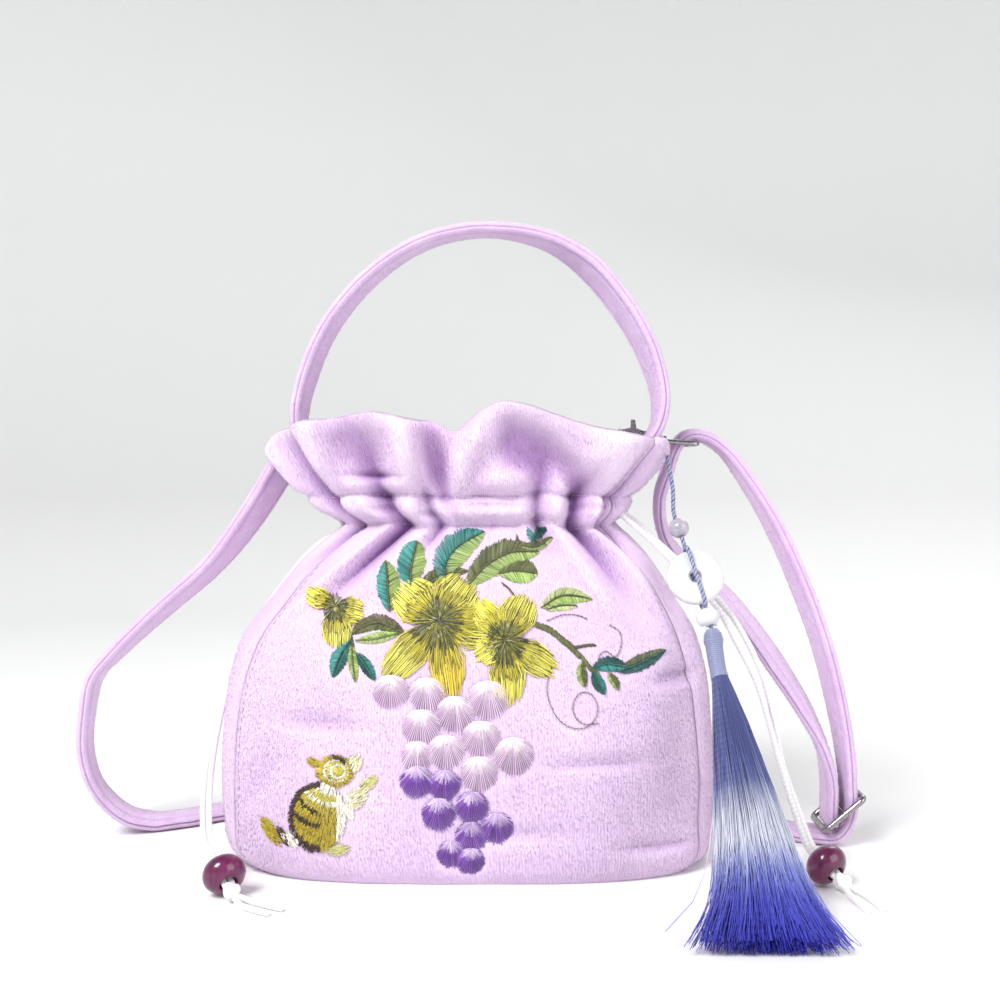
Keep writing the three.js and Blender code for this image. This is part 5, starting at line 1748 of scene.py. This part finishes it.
def bent_bar(corners, closed):
    """A line through corners, each rounded off but for free ends."""
    corners = np.asarray(corners, float)
    t = np.linspace(0, 1, 7)[:, None]
    line = []
    for i, corner in enumerate(corners):
        if not closed and i in (0, len(corners) - 1):
            line.append(corner[None])
            continue
        start = corner + unit(corners[i - 1] - corner) * BEND
        end = corner + unit(corners[(i + 1) % len(corners)] - corner) * BEND
        line.append((1 - t) ** 2 * start + 2 * t * (1 - t) * corner + t ** 2 * end)
    return np.vstack(line + [line[0][:1]] if closed else line)


def slider_point(along, across):
    """A point of the slider's own plane."""
    tilt = math.radians(SLIDER["tilt"])
    return SLIDER["middle"] + np.array((along * math.cos(tilt), across, along * math.sin(tilt)))


pitch, half = SLIDER["pitch"], SLIDER["half"]
slider_corners = [(-pitch, -half), (pitch, -half), (pitch, half), (-pitch, half)]
ring = bent_bar([slider_point(*corner) for corner in slider_corners], True)
bar = [slider_point(0, -half), slider_point(0, half)]
slider = strands("strap_slider_cast", [(line, SLIDER_BAR, BARE) for line in (ring, bar)], GUNMETAL, 14)
near, far, reach, gap = (CLASP_EYE[key] for key in ("near", "far", "half", "hub"))
eye_corners = [(x, STRAP_Y + out, z) for (x, z), out in (
    (near, gap), (near, reach), (far, reach), (far, -reach), (near, -reach), (near, -gap))]
eye = strands("clasp_eye_bent", [(bent_bar(eye_corners, False), WIRE_RADIUS, BARE)], GUNMETAL, 14)
hub_middle = np.array((near[0], STRAP_Y, near[1]))
hub = turned("clasp_eye_hub", ring_profile(*EYE_HUB), (1, 0, 0), hub_middle, GUNMETAL, 32)
dress(slider, "gunmetal", "strap_slider")
dress(eye, "gunmetal", "clasp_eye")
dress(hub, "gunmetal")
print("bent bar:", triangles(slider) + triangles(eye) + triangles(hub), "triangles")

# %% [markdown]
# The hook and its gate are cast. Their true shape is in the frame, with hard edges, so a copy of
# each is merged and its sharp edges are rounded with a bevel. The gate swings, so it rides on its
# own body.

# %% Metal: hook and gate
def softened(name, node, rounding):
    """A copy of a frame solid with rounded edges, rounding in mm."""
    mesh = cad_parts[node].data.copy()
    mesh.name = name
    shape = bmesh.new()
    shape.from_mesh(mesh)
    bmesh.ops.remove_doubles(shape, verts=shape.verts, dist=0.01 * MM)
    bmesh.ops.dissolve_limit(shape, angle_limit=math.radians(2), verts=shape.verts, edges=shape.edges)
    sharp = [edge for edge in shape.edges if edge.calc_face_angle(0) > math.radians(35)]
    bmesh.ops.bevel(shape, geom=sharp, offset=rounding * MM, segments=3, profile=0.5, affect="EDGES",
                    clamp_overlap=True)
    bmesh.ops.triangulate(shape, faces=shape.faces)
    shape.to_mesh(mesh)
    shape.free()
    mesh.shade_smooth()
    mesh.set_sharp_from_angle(angle=math.radians(38))
    mesh.materials.clear()
    mesh.materials.append(GUNMETAL)
    return link_piece(name, mesh)


EDGE_ROUNDING = 0.45
for node, body in (("clasp_hook", "purse"), ("clasp_gate", "gate")):
    casting = dress(softened(f"{node}_cast", node, EDGE_ROUNDING), "gunmetal", node, body=body)
    print(casting.name, triangles(casting), "triangles, rides on", body)

# %% [markdown]
# Two sewn pieces are left: the base, a flat sheet of plush with lining on top, and the loop of
# tape inside the rim that the hook holds on to. The base is rings of points from its middle to
# its edge, closed by a point above and below.

# %% Base and tape loop
# Share of the way to the edge and height, from below round the edge to the top.
BASE_SECTION = [(0.3, 0.15), (0.6, 0.1), (0.85, 0.05), (0.985, 0.1), (1, 0.8), (1, 1.7), (0.985, 2.3),
                (0.85, 2.5), (0.6, 2.8), (0.3, 2.9)]
BASE_TURNS = 96


def base_sheet():
    """The base as one closed sheet."""
    edge = cloth_row(np.linspace(0, 360, BASE_TURNS, endpoint=False), 0, 0, -WALL - CLEAR)[:, :2]
    middle = edge.mean(axis=0)
    points = [(*(middle + (spot - middle) * share), z) for share, z in BASE_SECTION for spot in edge]
    below, above = len(points), len(points) + 1
    points += [(*middle, BASE_SECTION[0][1]), (*middle, BASE_SECTION[-1][1])]
    last = (len(BASE_SECTION) - 1) * BASE_TURNS
    ring = [(i, (i + 1) % BASE_TURNS) for i in range(BASE_TURNS)]
    faces = grid_faces(len(BASE_SECTION), BASE_TURNS, True) + [(b, a, below) for a, b in ring]
    faces += [(last + a, last + b, above) for a, b in ring]
    piece = mesh_piece("base_panel_plush", points, faces, PLUSH, LINING)
    for face in piece.data.polygons:
        face.material_index = int(face.center.z > 0.7 * WALL * MM)
    return piece


base = base_sheet()
LOOP = {"middle": np.array((65.8, STRAP_Y, 167.4)), "half_width": 3.05, "half_height": 3.65}
loop_corners = [LOOP["middle"] + (0, a * LOOP["half_width"], b * LOOP["half_height"])
                for a, b in ((-1, -1), (1, -1), (1, 1), (-1, 1))]
sewn_end = cloth_row(107, CASING_TOP, 0.45, -WALL - CLEAR - 1.1)[0]
loop_rows = [(bent_bar(loop_corners, True), 0.65, SEWING_LILAC),
             ([LOOP["middle"] - (0, 2, LOOP["half_height"]), sewn_end], 0.85, SEWING_LILAC)]
tape_loop = strands("anchor_loop_tape", loop_rows, CORD_SATIN, 10)
dress(base, "plush", "base_panel")
dress(tape_loop, "plush", "anchor_loop")
print("base and loop:", triangles(base), triangles(tape_loop), "triangles")
left_showing = [name for name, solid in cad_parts.items() if not solid.hide_render]
print("frame solids left showing:", left_showing)

# %% [markdown]
# The set is a plain pale bowl: a floor that curves up into a wall all round, so no horizon line
# shows from any side. Light is soft and comes mostly from the upper left, with a weaker one on the
# right, one behind and a pale sky above.

# %% Stage and light
BOWL_SIDES = 96
SWEEP_STOPS = [(0.0, "f2f2f2"), (0.25, "e2e2e2"), (0.8, "e6e7e7")]
ROOM_LIGHT = 0.29
# Place, target, side in mm, and power.
LIGHTS = {
    "key_upper_left": ((-620, -880, 1100), (0, 0, 100), 600, 23.5),
    "fill_right": ((1000, -800, 500), (20, 0, 90), 900, 7),
    "back_right": ((600, 950, 1000), (0, 0, 100), 700, 5),
}


def bowl(middle, radius, height, bend):
    """A round floor that curves up into a wall, in mm."""
    arc = np.linspace(0, math.pi / 2, 17)
    curve = [(radius - bend + bend * math.sin(a), bend - bend * math.cos(a)) for a in arc]
    profile = [(radius / 5, 0), *curve, (radius, height)]
    angle = np.linspace(0, 2 * math.pi, BOWL_SIDES, endpoint=False)
    points = [(middle[0] + r * math.cos(a), middle[1] + r * math.sin(a), z)
              for r, z in profile for a in angle]
    faces = grid_faces(len(profile), BOWL_SIDES, True) + [tuple(range(BOWL_SIDES))]
    material, tree, shader = new_finish("pale_sweep", Roughness=0.85)
    coords = add_node(tree, "ShaderNodeTexCoord").outputs["Object"]
    level = add_node(tree, "ShaderNodeSeparateXYZ", {"Vector": coords}).outputs["Z"]
    climb = remap(tree, level, 0, 0.5, 0, 1)
    tree.links.new(ramp(tree, climb, SWEEP_STOPS), shader.inputs["Base Color"])
    return mesh_piece("pale_sweep", points, faces, material)


def soft_light(name, place, target, size, power):
    """A square area light at a place in mm, aimed at a target."""
    data = bpy.data.lights.new(name, "AREA")
    data.size = size * MM
    data.energy = power
    lamp = bpy.data.objects.new(name, data)
    lamp.location = Vector(place) * MM
    lamp.rotation_euler = (Vector(target) - Vector(place)).to_track_quat("-Z", "Y").to_euler()
    bpy.context.scene.collection.objects.link(lamp)


stage = bowl((0, -300), 1900, 2200, 700)
for name, setting in LIGHTS.items():
    soft_light(name, *setting)
world = bpy.data.worlds.new("pale_room")
world.use_nodes = True
sky = world.node_tree.nodes["Background"].inputs
sky["Color"].default_value = (1, 1, 1, 1)
sky["Strength"].default_value = ROOM_LIGHT
bpy.context.scene.world = world
bpy.context.scene.view_settings.view_transform = "Standard"
print("stage and lights ready")

# %% Measure and finish
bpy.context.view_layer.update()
meshes = [piece for piece in bpy.data.objects if piece.type == "MESH" and not piece.hide_render]
shown = [piece for piece in meshes if piece is not stage]
print("pieces:", len(shown), "with", sum(triangles(piece) for piece in shown), "triangles")
